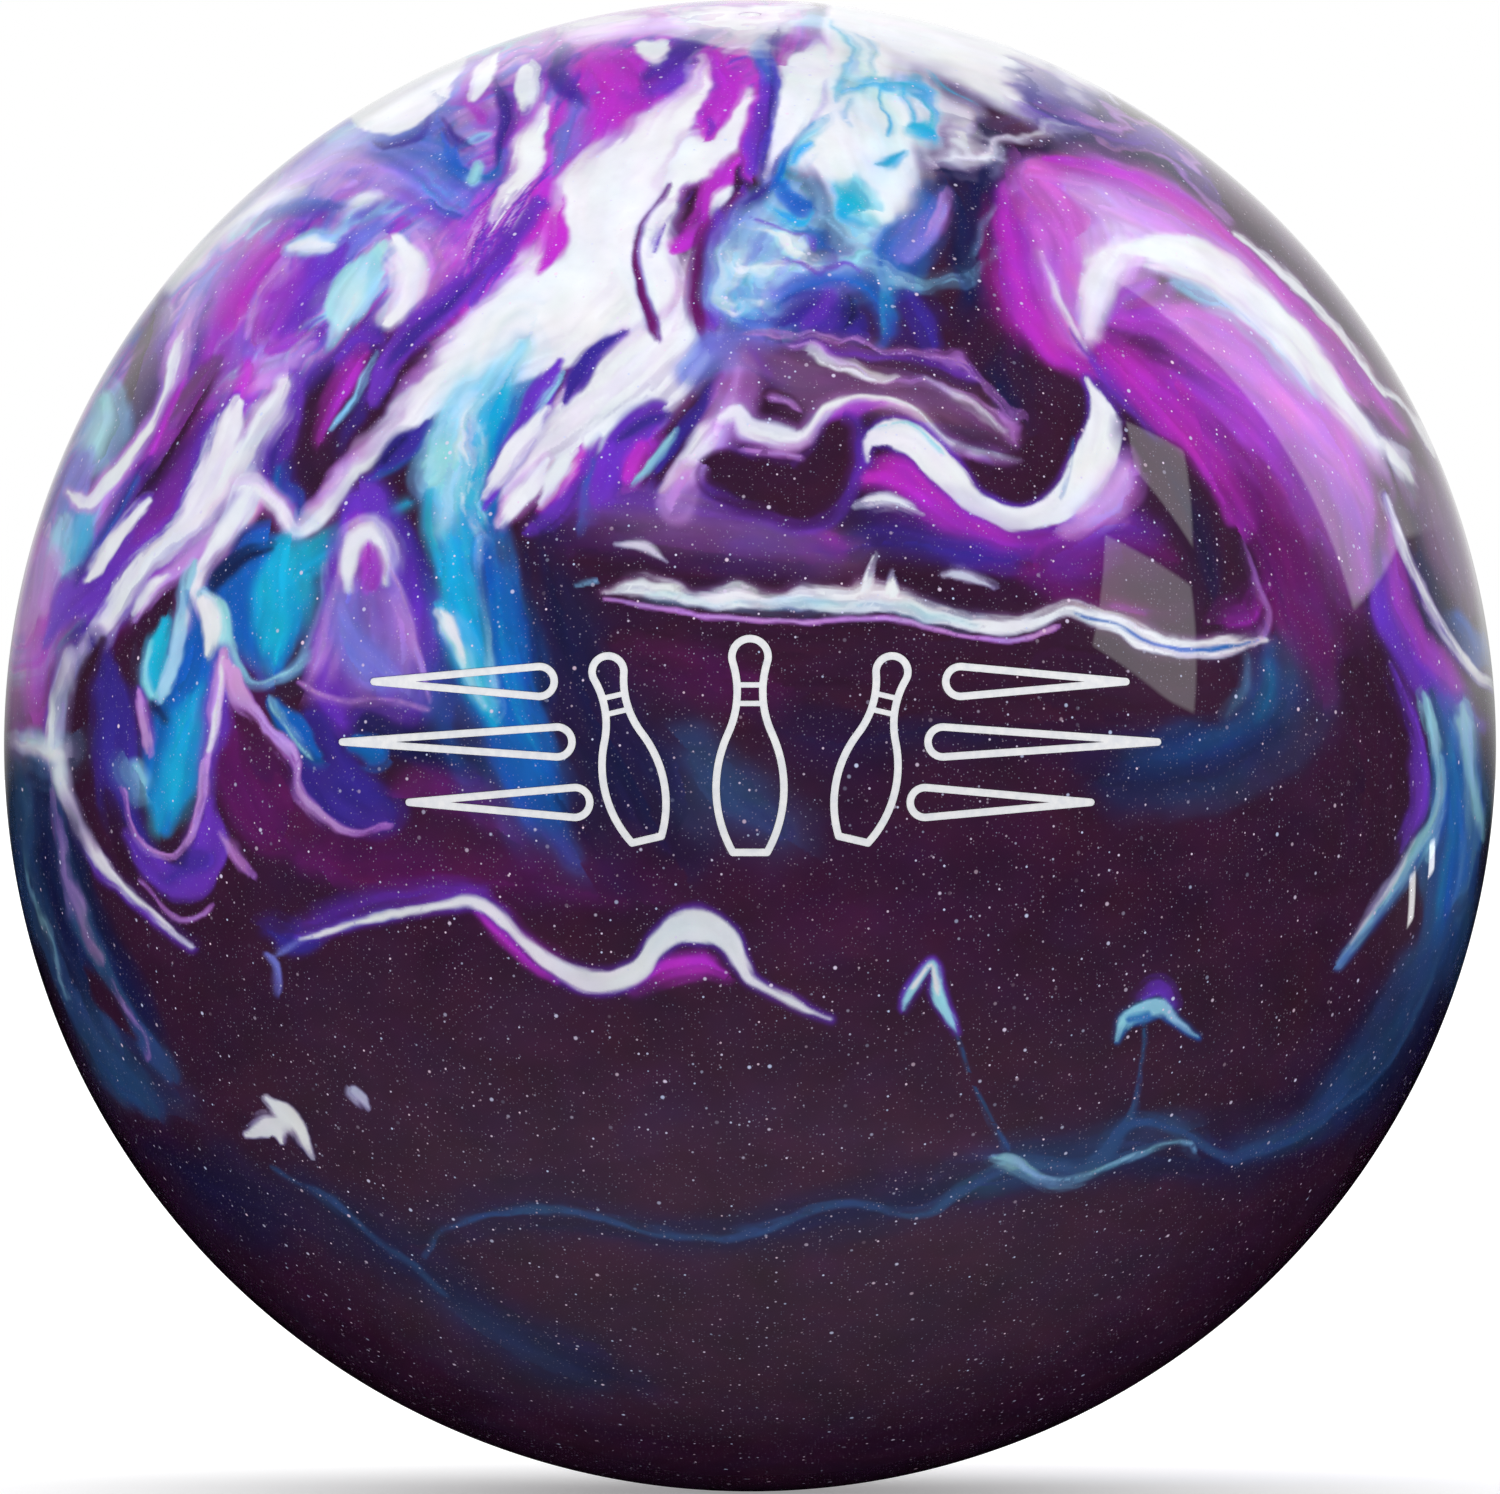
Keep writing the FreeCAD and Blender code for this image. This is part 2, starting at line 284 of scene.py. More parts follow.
    lay("white", (-625, 490, 7), (-641, 431, 20), (-662, 377, 19), (-694, 308, 17), (-728, 249, 12),
        (-749, 195, 8), (-764, 141, 7), (-775, 74, 7), streak=0.2, halo=("lilac", 11))
    lay("magenta", (-614, 501, 3), (-646, 474, 5), (-676, 428, 5), (-705, 356, 5), (-761, 259, 5),
        (-804, 216, 4), op=0.85)
    lay("lilac", (-721, 302, 4), (-751, 249, 11), (-804, 200, 7), (-824, 168, 3), soft=7, op=0.9)
    lay("white", (-777, 229, 4), (-804, 211, 7), (-828, 179, 4), soft=4, op=0.9)
    lay("indigo", (-507, 541, 24), (-534, 510, 38), (-579, 443, 48), (-614, 376, 46), (-603, 316, 29),
        soft=12, halo=("violet", 13))
    lay("plum", (-499, 530, 13), (-543, 483, 29), (-579, 423, 38), (-576, 369, 38), soft=19, op=0.9)
    lay("violet", (-501, 538, 11), (-528, 536, 16), (-550, 514, 11), soft=12, op=0.75)
    lay("violet", (-609, 483, 8), (-614, 430, 8), (-633, 380, 11), soft=12, op=0.7)
    lay("blue", (-630, 369, 7), (-633, 348, 11), (-614, 329, 8), soft=9, op=0.7)
    lay("magenta", (-517, 522, 9), (-536, 493, 13), (-555, 456, 8), (-571, 410, 4), soft=12, op=0.95)
    lay("sky", (-496, 522, 3), (-517, 485, 5), (-539, 444, 5), (-552, 423, 3), op=0.85, streak=0.5,
        grain=(40, 5), rag=2)
    lay("white", (-635, 485, 21), (-668, 420, 20), (-710, 345, 16), (-761, 281, 12), (-828, 214, 11),
        (-882, 141, 12), (-917, 66, 13), (-936, -3, 12), soft=9, op=0.9, streak=0.25, grain=(161, 12),
        halo=("violet", 12), rag=2)


def top_middle():
    """The white and magenta that pour down from the top, and the cyan curtain below them."""
    lay(("orchid", "magenta", "violet", "magenta", "orchid", "lilac"), (-13, 973, 80), (-147, 905, 134),
        (-255, 745, 107), (-362, 597, 54), soft=32, grain=(188, 54), seed=4)
    lay("magenta", (-201, 919, 32), (-172, 879, 48), (-193, 818, 40), (-228, 758, 27), (-249, 702, 15),
        (-275, 648, 15), soft=15, streak=0.35, grain=(80, 19))
    lay("lilac", (-239, 946, 8), (-201, 956, 8), (-134, 967, 7), (-80, 967, 7), soft=11, op=0.9)
    lay("white", (-255, 959, 4), (-201, 967, 7), (-147, 975, 5), soft=8, op=0.8)
    lay("indigo", (-40, 959, 8), (-67, 940, 15), (-101, 916, 16), (-137, 892, 12), soft=12, op=0.85)
    lay("violet", (-67, 919, 8), (-101, 899, 12), (-134, 876, 9), soft=13, op=0.6)
    lay("indigo", (-255, 930, 11), (-260, 895, 16), (-235, 865, 13), soft=13, op=0.75)
    lay("periwinkle", (-236, 849, 13), (-244, 805, 17), (-255, 765, 13), soft=15, op=0.9)
    lay("white", (-56, 911, 9), (-80, 876, 21), (-115, 828, 40), (-155, 765, 56), (-177, 711, 64),
        (-201, 648, 80), (-255, 584, 83), (-349, 527, 59), (-429, 470, 29), (-489, 410, 13),
        (-534, 353, 11), (-563, 309, 11), (-597, 284, 11), (-621, 300, 11), (-646, 329, 15),
        (-684, 353, 16), soft=8, streak=0.1, grain=(161, 11), halo=("lilac", 13), rag=2)
    lay("white", (-147, 664, 40), (-127, 597, 40), (-147, 530, 29), soft=7)
    lay("white", (8, 881, 11), (-11, 873, 13), (-19, 841, 19), (-38, 805, 24), (-80, 785, 27),
        (-114, 751, 21), soft=8, halo=("lilac", 12), rag=2)
    lay("magenta", (-43, 922, 13), (-40, 889, 21), (-46, 855, 23), (-59, 820, 15), soft=9, streak=0.2,
        grain=(54, 16), rag=2)
    lay("violet", (-56, 841, 4), (-51, 830, 7), (-56, 820, 5), soft=8, op=0.7)
    lay("white", (-60, 678, 27), (-80, 570, 38), (-147, 490, 59), (-214, 436, 51), (-275, 389, 32),
        (-324, 340, 16), soft=8, streak=0.25, grain=(121, 9), halo=("lilac", 13), seed=3)
    lay("white", (-38, 447, 16), (-80, 393, 24), (-115, 340, 16), soft=7, streak=0.3, grain=(67, 8),
        halo=("lilac", 16))
    lay("white", (-142, 932, 9), (-126, 928, 15), (-115, 935, 8), soft=7)
    lay("magenta", (-247, 725, 8), (-260, 688, 15), (-273, 653, 16), (-282, 637, 8), soft=8, rag=2)
    lay("violet", (-288, 725, 7), (-328, 675, 9), (-371, 636, 12), (-414, 593, 13), (-457, 550, 15),
        (-487, 507, 13), (-507, 463, 8), soft=7, halo=("violet", 11))
    lay("indigo", (-362, 640, 4), (-414, 586, 8), (-457, 544, 11), (-483, 509, 8), soft=8, op=0.85)
    lay(("white", "lilac", "violet", "orchid", "lilac", "orchid"), (-282, 771, 13), (-328, 725, 27),
        (-362, 678, 21), (-386, 631, 7), soft=8, grain=(147, 12), seed=6)
    lay("indigo", (-339, 892, 13), (-324, 865, 17), (-327, 825, 16), (-339, 778, 8), soft=9, op=0.9)
    lay("blue", (-416, 865, 7), (-406, 818, 9), (-382, 778, 11), (-346, 765, 13), (-328, 798, 7), soft=11,
        op=0.8, streak=0.4, grain=(40, 8), rag=2)
    lay("orchid", (-378, 865, 12), (-362, 844, 16), soft=12, op=0.9)
    lay("indigo", (-413, 841, 4), (-399, 817, 7), (-373, 806, 7), op=0.7)
    lay("white", (-339, 924, 5), (-359, 895, 13), (-373, 873, 7), halo=("orchid", 11))
    lay("white", (-296, 903, 9), (-300, 879, 13), (-308, 857, 4), halo=("violet", 11))
    lay("white", (-282, 849, 13), (-287, 812, 19), (-298, 771, 16), (-322, 745, 11), (-349, 698, 5), soft=7,
        halo=("lilac", 12), rag=2)
    lay("sky", (-365, 782, 7), (-373, 763, 9), op=0.9)
    lay("wine", (-113, 751, 1), (-142, 702, 2), (-154, 664, 4), (-151, 615, 6), (-141, 581, 7),
        (-129, 546, 8), soft=4, halo=("violet", 5))
    lay("violet", (-79, 743, 2), (-105, 714, 2), (-121, 680, 5), (-127, 664, 7), soft=4, op=0.85)
    lay("lilac", (-110, 664, 4), (-99, 617, 5), (-105, 573, 4), soft=11, op=0.5)
    lay("magenta", (-13, 778, 16), (-43, 747, 17), (-62, 722, 15), (-67, 699, 12), (-83, 680, 13),
        (-105, 670, 11), soft=7, rag=2)
    lay("white", (-25, 745, 4), (-40, 733, 9), (-54, 715, 4))
    lay("wine", (-16, 738, 11), (-48, 691, 20), (-63, 637, 23), (-64, 577, 24), (-59, 541, 21), soft=8,
        halo=("violet", 11))
    lay("plum", (-38, 702, 7), (-56, 651, 12), (-64, 584, 13), soft=12, op=0.75)
    lay("indigo", (-13, 734, 7), (-32, 702, 9), (-46, 653, 8), (-48, 597, 9), soft=11, op=0.75)
    lay("periwinkle", (7, 537, 27), (-46, 527, 35), (-78, 501, 19), soft=24, op=0.75)
    lay("violet", (13, 959, 8), (24, 905, 13), (21, 852, 16), (11, 798, 17), (8, 769, 16), soft=9,
        halo=("magenta", 9))
    lay("blue", (34, 959, 13), (16, 935, 12), (24, 899, 9), soft=11, op=0.75)
    lay("indigo", (24, 879, 7), (29, 838, 8), (20, 785, 8), soft=9, op=0.7)
    lay("sky", (137, 954, 8), (94, 964, 13), (54, 967, 11), soft=12, op=0.85)
    lay("sky", (-308, 537, 13), (-340, 483, 32), (-381, 423, 43), (-402, 363, 43), (-408, 289, 38), soft=21)
    lay("cyan", (-300, 541, 5), (-319, 503, 16), (-338, 463, 27), (-357, 410, 35), (-373, 342, 38),
        (-378, 269, 32), soft=20)
    lay("cyan", (-418, 423, 5), (-424, 369, 8), (-426, 302, 12), (-418, 235, 13), soft=12, op=0.7)
    lay("sky", (-375, 463, 8), (-399, 396, 12), (-408, 329, 12), (-405, 262, 8), soft=12, op=0.8,
        streak=0.5, grain=(67, 12), rag=2)
    lay("white", (-365, 463, 5), (-386, 423, 8), (-399, 383, 5), soft=11, op=0.7, rag=2)
    lay("white", (-365, 442, 4), (-381, 401, 9), (-389, 356, 11), (-378, 308, 8), (-370, 270, 4), soft=11,
        op=0.85, streak=0.75, grain=(21, 9), rag=4)
    lay("sky", (-335, 501, 4), (-351, 458, 8), (-362, 410, 7), (-357, 356, 7), (-362, 302, 4), soft=8,
        op=0.8, streak=0.7, grain=(21, 8), rag=4)
    lay("blue", (-295, 483, 7), (-316, 436, 12), (-335, 376, 13), (-346, 302, 12), soft=15, op=0.8,
        streak=0.3, grain=(67, 12), rag=2)
    lay("blue", (-365, 436, 4), (-375, 396, 5), (-373, 342, 4), soft=9, op=0.6, streak=0.3, grain=(54, 11),
        rag=3)
    lay("sky", (-395, 450, 16), (-413, 403, 21), (-429, 356, 13), soft=11, op=0.9, streak=0.5,
        grain=(32, 11))
    lay("indigo", (-437, 430, 7), (-462, 403, 17), (-489, 376, 13), (-509, 356, 5), soft=7,
        halo=("blue", 8))
    lay("navy", (-469, 410, 7), (-493, 380, 8), soft=8, op=0.8)
    lay("violet", (-257, 519, 11), (-282, 466, 16), (-306, 410, 15), (-335, 359, 12), (-354, 318, 5))
    lay("indigo", (-172, 554, 5), (-214, 527, 11), (-235, 490, 12), (-249, 463, 5), halo=("violet", 8))
    lay("sky", (-252, 503, 3), (-271, 470, 4), (-287, 443, 3), soft=3, op=0.8)
    lay("white", (-273, 452, 9), (-308, 403, 13), (-338, 360, 9), (-355, 337, 3), halo=("violet", 9))
    lay("violet", (-201, 410, 7), (-225, 369, 16), (-260, 318, 16), (-298, 294, 11), soft=9)
    lay("white", (-273, 380, 7), (-306, 337, 12), (-334, 300, 5), halo=("lilac", 9))
    lay("white", (-236, 393, 9), (-263, 360, 13), (-284, 329, 5), halo=("magenta", 11))
    lay("plum", (-225, 356, 4), (-252, 316, 7), (-282, 292, 5), soft=7, op=0.8)
    lay("blue", (-209, 380, 8), (-214, 334, 15), (-233, 292, 9), soft=9, op=0.85)
    lay("violet", (-127, 444, 19), (-158, 410, 29), (-185, 364, 29), (-196, 334, 21), soft=9)
    lay("indigo", (-114, 447, 12), (-147, 436, 12), (-177, 410, 11), soft=9, op=0.8)
    lay("magenta", (-145, 399, 11), (-158, 375, 13), (-166, 356, 8), soft=11)
    lay("plum", (-80, 443, 8), (-105, 389, 9), (-127, 345, 8), halo=("indigo", 9))
    lay("indigo", (-40, 490, 8), (-67, 456, 11), (-94, 420, 9), (-121, 369, 5), soft=7)
    lay("sky", (-103, 424, 3), (-129, 381, 5), (-158, 348, 3), soft=3, op=0.85)
    lay("white", (-121, 983, 11), (-54, 979, 16), (-3, 967, 20), (43, 975, 16), (75, 983, 11), soft=13,
        op=0.95, rag=3)


def upper_right():
    """The cyan lace and the storm under it, the great pale swoosh on the right with a painted grey-mauve
    reflection above its outer edge, and the white wave.
    """
    lay("white", (147, 973, 54), (134, 865, 88), (161, 758, 83), (174, 711, 46), soft=19)
    lay("white", (201, 959, 54), (315, 932, 54), (389, 879, 40), (442, 892, 27), soft=24)
    lay("white", (241, 852, 27), (282, 838, 21), soft=21, op=0.8)
    lay("sky", (54, 725, 35), (13, 664, 54), (27, 597, 40), soft=19, op=0.95)
    lay("sky", (134, 852, 27), (174, 798, 40), (134, 731, 35), soft=32, op=0.4)
    lay("violet", (-46, 712, 11), (-48, 651, 16), (-48, 570, 16), soft=16)
    lay("blue", (-16, 712, 11), (-19, 648, 21), (-11, 581, 24), (54, 573, 21), (134, 597, 19), soft=21)
    lay("periwinkle", (67, 696, 21), (21, 670, 38), (8, 611, 35), (67, 603, 27), (158, 662, 24), soft=24)
    lay("sky", (83, 702, 16), (35, 680, 27), (8, 637, 24), (19, 597, 16), soft=19, op=0.8, streak=0.5,
        grain=(40, 13), rag=3)
    lay("sky", (-21, 699, 8), (-32, 664, 16), (-29, 619, 17), (-11, 589, 11), soft=16, op=0.85, streak=0.5,
        grain=(32, 12), rag=4)
    lay("sky", (67, 640, 8), (121, 648, 13), (180, 678, 16), soft=19, op=0.7, streak=0.4, grain=(40, 11),
        rag=3)
    lay("white", (-16, 702, 5), (16, 691, 13), (54, 675, 13), (83, 662, 7), soft=11, op=0.75, streak=0.7,
        grain=(27, 9), rag=4)
    lay("white", (-32, 678, 5), (-16, 648, 12), (19, 648, 12), (56, 656, 8), (88, 648, 4), soft=11, op=0.75,
        streak=0.6, grain=(21, 8), rag=4)
    lay("white", (-29, 616, 4), (-8, 603, 8), (19, 600, 5), soft=9, op=0.6, streak=0.6, grain=(19, 8),
        rag=4)
    lay("blue", (13, 712, 4), (46, 702, 7), (83, 683, 8), (129, 670, 7), soft=8, op=0.7, streak=0.5,
        grain=(32, 8), rag=4)
    lay("violet", (-16, 678, 4), (19, 664, 5), (56, 653, 8), (83, 629, 7), (62, 608, 4), soft=8, op=0.7,
        streak=0.5, grain=(32, 8), rag=5)
    lay("cyan", (-8, 678, 3), (3, 648, 5), (0, 608, 7), (16, 581, 5), soft=8, op=0.45, streak=0.5,
        grain=(27, 8), rag=4)
    lay("sky", (115, 954, 11), (134, 905, 16), (174, 884, 19), (220, 871, 19), (233, 833, 13), soft=21,
        op=0.6, rag=3)
    lay("cyan", (115, 959, 5), (123, 930, 4), (129, 900, 4), (118, 879, 4), soft=7, op=0.6, rag=3)
    lay("cyan", (115, 873, 4), (137, 887, 4), (166, 892, 5), (201, 889, 5), (228, 876, 7), (239, 855, 7),
        (236, 828, 5), soft=7, op=0.75, rag=3)
    lay("cyan", (145, 938, 3), (155, 914, 4), (158, 892, 3), op=0.5, rag=3)
    lay("cyan", (177, 889, 3), (180, 860, 4), (180, 833, 5), (177, 820, 3), op=0.8, rag=2)
    lay("cyan", (204, 887, 3), (212, 860, 4), (212, 836, 5), op=0.75, rag=2)
    lay("cyan", (241, 905, 3), (257, 887, 4), (279, 873, 4), (303, 863, 3), op=0.7, rag=3)
    lay("cyan", (137, 871, 3), (126, 852, 3), (131, 833, 3), op=0.5, rag=2)
    lay("cyan", (206, 833, 5), (225, 828, 11), (241, 822, 5), soft=8, op=0.9, rag=2)
    lay("cyan", (172, 774, 4), (185, 779, 9), (201, 790, 4), soft=7, op=0.9, rag=2)
    lay("cyan", (115, 742, 5), (131, 734, 13), (147, 729, 11), (137, 712, 8), (164, 702, 5), soft=9,
        op=0.95, halo=("sky", 12), rag=3)
    lay("cyan", (67, 781, 4), (78, 793, 8), (88, 801, 4), soft=7, op=0.85, rag=2)
    lay("sky", (101, 711, 12), (134, 688, 9), (181, 696, 11), soft=12, op=0.7, rag=3)
    lay("blue", (46, 747, 11), (56, 727, 17), (75, 721, 11), soft=9, op=0.85, rag=2)
    lay("cyan", (21, 725, 5), (40, 710, 11), (67, 702, 9), (83, 712, 5), soft=8, op=0.8, streak=0.4,
        grain=(27, 7), rag=2)
    lay("cyan", (99, 841, 4), (75, 822, 7), (54, 796, 8), (42, 761, 9), soft=7, op=0.85)
    lay("blue", (88, 855, 2), (64, 816, 3), (42, 769, 5), (27, 745, 7), op=0.85)
    lay("indigo", (29, 753, 5), (16, 738, 8), (-7, 727, 7), soft=8, op=0.85)
    lay("white", (88, 932, 19), (78, 905, 35), (67, 865, 27), (48, 818, 15), (32, 785, 8), (23, 761, 4),
        halo=("periwinkle", 11))
    lay("white", (64, 916, 23), (86, 914, 25), soft=7)
    lay("indigo", (35, 954, 2), (28, 905, 3), (29, 852, 3), (25, 805, 3), (19, 766, 3), op=0.7)
    lay("lilac", (67, 946, 11), (97, 943, 9), soft=12, op=0.45)
    lay("violet", (-3, 712, 3), (20, 696, 4), (56, 688, 3), (83, 675, 3), soft=4, op=0.6, rag=4)
    lay("violet", (51, 621, 3), (83, 640, 4), (118, 656, 7), (134, 648, 4), soft=7, op=0.7, rag=4)
    lay("mauve", (248, 778, 13), (282, 790, 21), (322, 812, 24), (349, 838, 13), soft=21, op=0.6, rag=3)
    lay("navy", (292, 822, 5), (315, 814, 9), (340, 822, 5), soft=11, op=0.8, rag=5)
    lay("navy", (235, 769, 5), (268, 774, 8), (315, 785, 11), soft=11, op=0.8, rag=5)
    lay("white", (235, 785, 8), (268, 798, 12), (302, 796, 9), (330, 778, 7), soft=12, op=0.8, rag=5)
    lay("navy", (257, 758, 16), (284, 711, 35), (311, 617, 46), (315, 530, 40), (349, 463, 32), soft=19,
        rag=2)
    lay("navy", (335, 778, 11), (315, 738, 24), (335, 691, 21), soft=13, rag=2)
    lay("plum", (315, 557, 29), (288, 503, 29), soft=24, op=0.85)
    lay("blue", (225, 725, 19), (208, 684, 27), (194, 648, 24), soft=16, op=0.85, rag=3)
    lay("periwinkle", (257, 742, 3), (244, 721, 15), (228, 688, 20), (212, 664, 13), soft=8, op=0.95,
        streak=0.35, grain=(40, 12))
    lay("lilac", (256, 737, 2), (247, 711, 7), (236, 688, 5), soft=7, op=0.6)
    lay("blue", (36, 584, 8), (67, 616, 12), (114, 627, 13), (164, 616, 21), (185, 581, 19), (180, 550, 12),
        soft=17, op=0.85, rag=3)
    lay("indigo", (134, 568, 29), (83, 581, 32), (43, 562, 19), soft=16, rag=2)
    lay("violet", (105, 603, 13), (94, 581, 17), (78, 562, 12), soft=13, op=0.6)
    lay("navy", (129, 603, 5), (134, 581, 8), (123, 562, 7), soft=9, op=0.7)
    lay("cyan", (178, 635, 7), (181, 603, 7), (180, 565, 3), soft=11, op=0.85, streak=0.3, grain=(35, 7),
        rag=2)
    lay("cyan", (-8, 590, 5), (13, 611, 8), (3, 640, 5), soft=11, op=0.4, streak=0.4, grain=(27, 8), rag=3)
    lay("indigo", (208, 611, 19), (228, 570, 29), (241, 537, 21), soft=16, op=0.85)
    lay("sky", (134, 670, 8), (181, 656, 12), (217, 645, 12), (257, 640, 11), (292, 651, 8), (311, 662, 4),
        soft=15, op=0.5, streak=0.6, grain=(32, 9), rag=5)
    lay("sky", (322, 725, 2), (306, 688, 3), (300, 664, 3), op=0.35, rag=2)
    lay("mauve", (0, 517, 27), (67, 490, 54), (161, 483, 48), (268, 463, 35), (362, 410, 21), soft=24,
        op=0.85)
    lay("plum", (8, 460, 9), (24, 468, 9), (54, 460, 7), (67, 447, 4), soft=7, op=0.9)
    lay("plum", (94, 527, 11), (174, 509, 13), (255, 490, 16), (315, 483, 16), soft=13, op=0.6)
    lay("lilac", (-1, 552, 3), (24, 544, 5), (50, 536, 4), (87, 533, 3), (126, 550, 3), (161, 554, 3),
        (194, 533, 4), (263, 507, 3), (315, 485, 4), (355, 450, 3), op=0.75, streak=0.5, grain=(80, 5),
        rag=4)
    lay("violet", (40, 530, 3), (107, 522, 5), (174, 527, 5), (228, 511, 5), (302, 490, 4), soft=11, op=0.6,
        rag=3)
    lay("lilac", (40, 527, 3), (107, 514, 4), (174, 483, 4), (255, 474, 5), (335, 452, 5), (365, 410, 3),
        op=0.6, streak=0.5, grain=(80, 5), rag=3, seed=2)
    lay("white", (70, 513, 1), (102, 507, 5), (147, 495, 5), (180, 485, 2), op=0.75, rag=3)
    lay("white", (221, 479, 1), (282, 467, 5), (349, 430, 3), op=0.5, rag=3)
    lay("lilac", (-16, 501, 11), (-24, 463, 19), (-40, 426, 19), soft=21, op=0.7)
    lay("violet", (3, 527, 11), (24, 501, 11), soft=19, op=0.5)
    lay("white", (-43, 439, 9), (-16, 447, 11), (-3, 431, 11), (29, 423, 9), (54, 415, 9), (74, 418, 5),
        (88, 436, 4), (110, 455, 5), (157, 464, 5), (190, 460, 4), (221, 444, 4), (255, 414, 3),
        (284, 399, 4), (315, 392, 3), (362, 388, 2), op=0.85, halo=("lilac", 11))
    lay("lilac", (24, 467, 2), (46, 464, 3), (67, 447, 2), soft=4, op=0.8, rag=2)
    lay("lilac", (-11, 399, 2), (27, 396, 3), (62, 391, 3), (75, 385, 2), soft=4, op=0.8)
    lay("orchid", (102, 396, 5), (115, 430, 11), (137, 448, 9), (174, 458, 5), soft=9, op=0.8)
    lay("indigo", (351, 905, 11), (382, 879, 19), (422, 847, 23), (475, 830, 16), soft=16, op=0.95, rag=3)
    lay("violet", (362, 865, 8), (416, 828, 11), (496, 812, 11), (576, 778, 11), (630, 738, 8), soft=11,
        op=0.8, rag=3)
    # painted reflection: a grey-mauve sheen laid as pigment just above the swoosh's outer edge
    lay("mauve", (389, 812, 13), (496, 788, 19), (603, 725, 16), (684, 658, 11), soft=16, op=0.7)
    lay("navy", (335, 778, 7), (416, 809, 9), (509, 788, 11), (603, 738, 11), soft=12, op=0.7, rag=3)
    lay("white", (418, 919, 7), (449, 887, 12), (483, 876, 9), (496, 855, 5), soft=9, op=0.9, rag=3)
    lay("white", (483, 905, 16), (536, 868, 19), (590, 825, 11), soft=13, op=0.8, rag=2)
    lay("white", (302, 798, 4), (349, 814, 4), (402, 830, 3), (449, 828, 2), soft=7, op=0.7, rag=3)
    lay("lilac", (389, 860, 2), (436, 844, 4), (496, 833, 3), (556, 801, 3), (603, 765, 2), op=0.7, rag=3)
    lay("lilac", (469, 809, 2), (536, 785, 3), (597, 742, 3), (657, 688, 2), op=0.5, rag=3)
    lay("indigo", (381, 860, 7), (416, 838, 12), (466, 822, 8), soft=12, op=0.85, rag=3)
    # painted reflection: a grey-mauve sheen laid as pigment beyond the thin white line, out towards the
    # right edge
    lay("mauve", (590, 798, 11), (697, 711, 16), (804, 597, 21), (885, 483, 24), (938, 369, 24), soft=19,
        op=0.75)
    lay("plum", (469, 769, 5), (566, 731, 9), (651, 670, 11), (740, 586, 12), (831, 468, 12), (887, 369, 8),
        soft=9)
    lay("wine", (314, 737, 7), (311, 678, 12), (324, 597, 13), (351, 537, 11), soft=16, op=0.8)
    lay("wine", (576, 474, 13), (622, 415, 32), (678, 334, 48), (727, 241, 51), (756, 141, 43),
        (764, 74, 24), soft=27)
    lay("plum", (598, 369, 11), (641, 275, 24), (670, 182, 32), (692, 101, 35), soft=32, op=0.85)
    lay("magenta", (340, 745, 13), (349, 675, 21), (370, 597, 27), (408, 536, 24), (458, 498, 11), soft=21,
        op=0.85)
    lay("orchid", (362, 753, 13), (389, 691, 35), (402, 619, 32), (421, 557, 16), soft=24, op=0.85)
    lay("pink", (381, 761, 19), (421, 702, 43), (432, 629, 32), (440, 570, 13), soft=24)
    lay("pink", (373, 766, 12), (476, 750, 27), (566, 707, 27), (657, 640, 21), (745, 557, 17),
        (823, 466, 12), soft=15)
    lay("magenta", (397, 785, 4), (483, 774, 7), (571, 734, 7), (657, 670, 7), (748, 586, 7), (826, 495, 7),
        (877, 410, 4), soft=9)
    lay("lilac", (434, 745, 16), (480, 712, 38), (485, 656, 38), (464, 597, 21), (456, 549, 8), soft=24)
    lay("lilac", (469, 723, 13), (550, 691, 27), (638, 629, 23), (732, 544, 17), (807, 460, 11), soft=15,
        op=0.95)
    lay("orchid", (496, 576, 21), (576, 552, 48), (665, 493, 62), (743, 412, 67), (796, 318, 54),
        (818, 222, 29), soft=17)
    lay("pink", (523, 597, 16), (603, 557, 32), (694, 495, 38), (772, 412, 35), (823, 329, 19), soft=24,
        op=0.75)
    lay("mauve", (732, 396, 21), (780, 302, 38), (804, 222, 27), soft=32, op=0.5)
    lay("magenta", (861, 356, 4), (858, 275, 8), (866, 195, 11), soft=13, op=0.6)
    lay("magenta", (464, 541, 12), (496, 509, 23), (539, 466, 27), (584, 412, 20), (622, 353, 12),
        (646, 302, 5), soft=20, op=0.85)
    lay("orchid", (483, 576, 11), (499, 603, 16), (531, 613, 15), soft=12)
    lay("violet", (461, 511, 4), (491, 474, 8), (534, 428, 8), (566, 380, 5), soft=9, op=0.8)
    lay("white", (445, 656, 13), (477, 667, 19), (536, 667, 19), (598, 648, 16), soft=19, op=0.85)
    lay("white", (493, 664, 11), (539, 667, 21), (598, 648, 27), (662, 605, 25), (732, 541, 21),
        (794, 468, 16), (836, 412, 11), (866, 369, 7), (885, 329, 3), soft=8, halo=("lilac", 16))
    lay("white", (493, 664, 21), (472, 635, 21), (461, 592, 12), (453, 554, 5), soft=17, op=0.85)
    lay("sky", (563, 621, 3), (630, 592, 5), (697, 536, 5), (764, 466, 4), soft=9, op=0.6)
    lay("white", (383, 664, 1), (403, 621, 2), (426, 573, 3), (453, 525, 2), op=0.6, halo=("lilac", 11))
    lay("violet", (429, 557, 3), (445, 533, 5), (461, 514, 3), op=0.7)
    lay("plum", (389, 458, 19), (418, 423, 27), (389, 369, 40), (335, 359, 27), (295, 380, 19), soft=11)
    lay("wine", (174, 329, 19), (261, 289, 27), (335, 249, 29), (429, 254, 40), (496, 302, 38), soft=27,
        op=0.8)
    lay("magenta", (155, 361, 16), (208, 359, 24), (261, 313, 24), (322, 278, 19), (389, 267, 13),
        (456, 289, 16), soft=20)
    lay("wine", (416, 241, 40), (491, 269, 46), (563, 249, 21), soft=38, op=0.8)
    lay("violet", (416, 254, 29), (485, 302, 35), (536, 289, 13), soft=35, op=0.6)
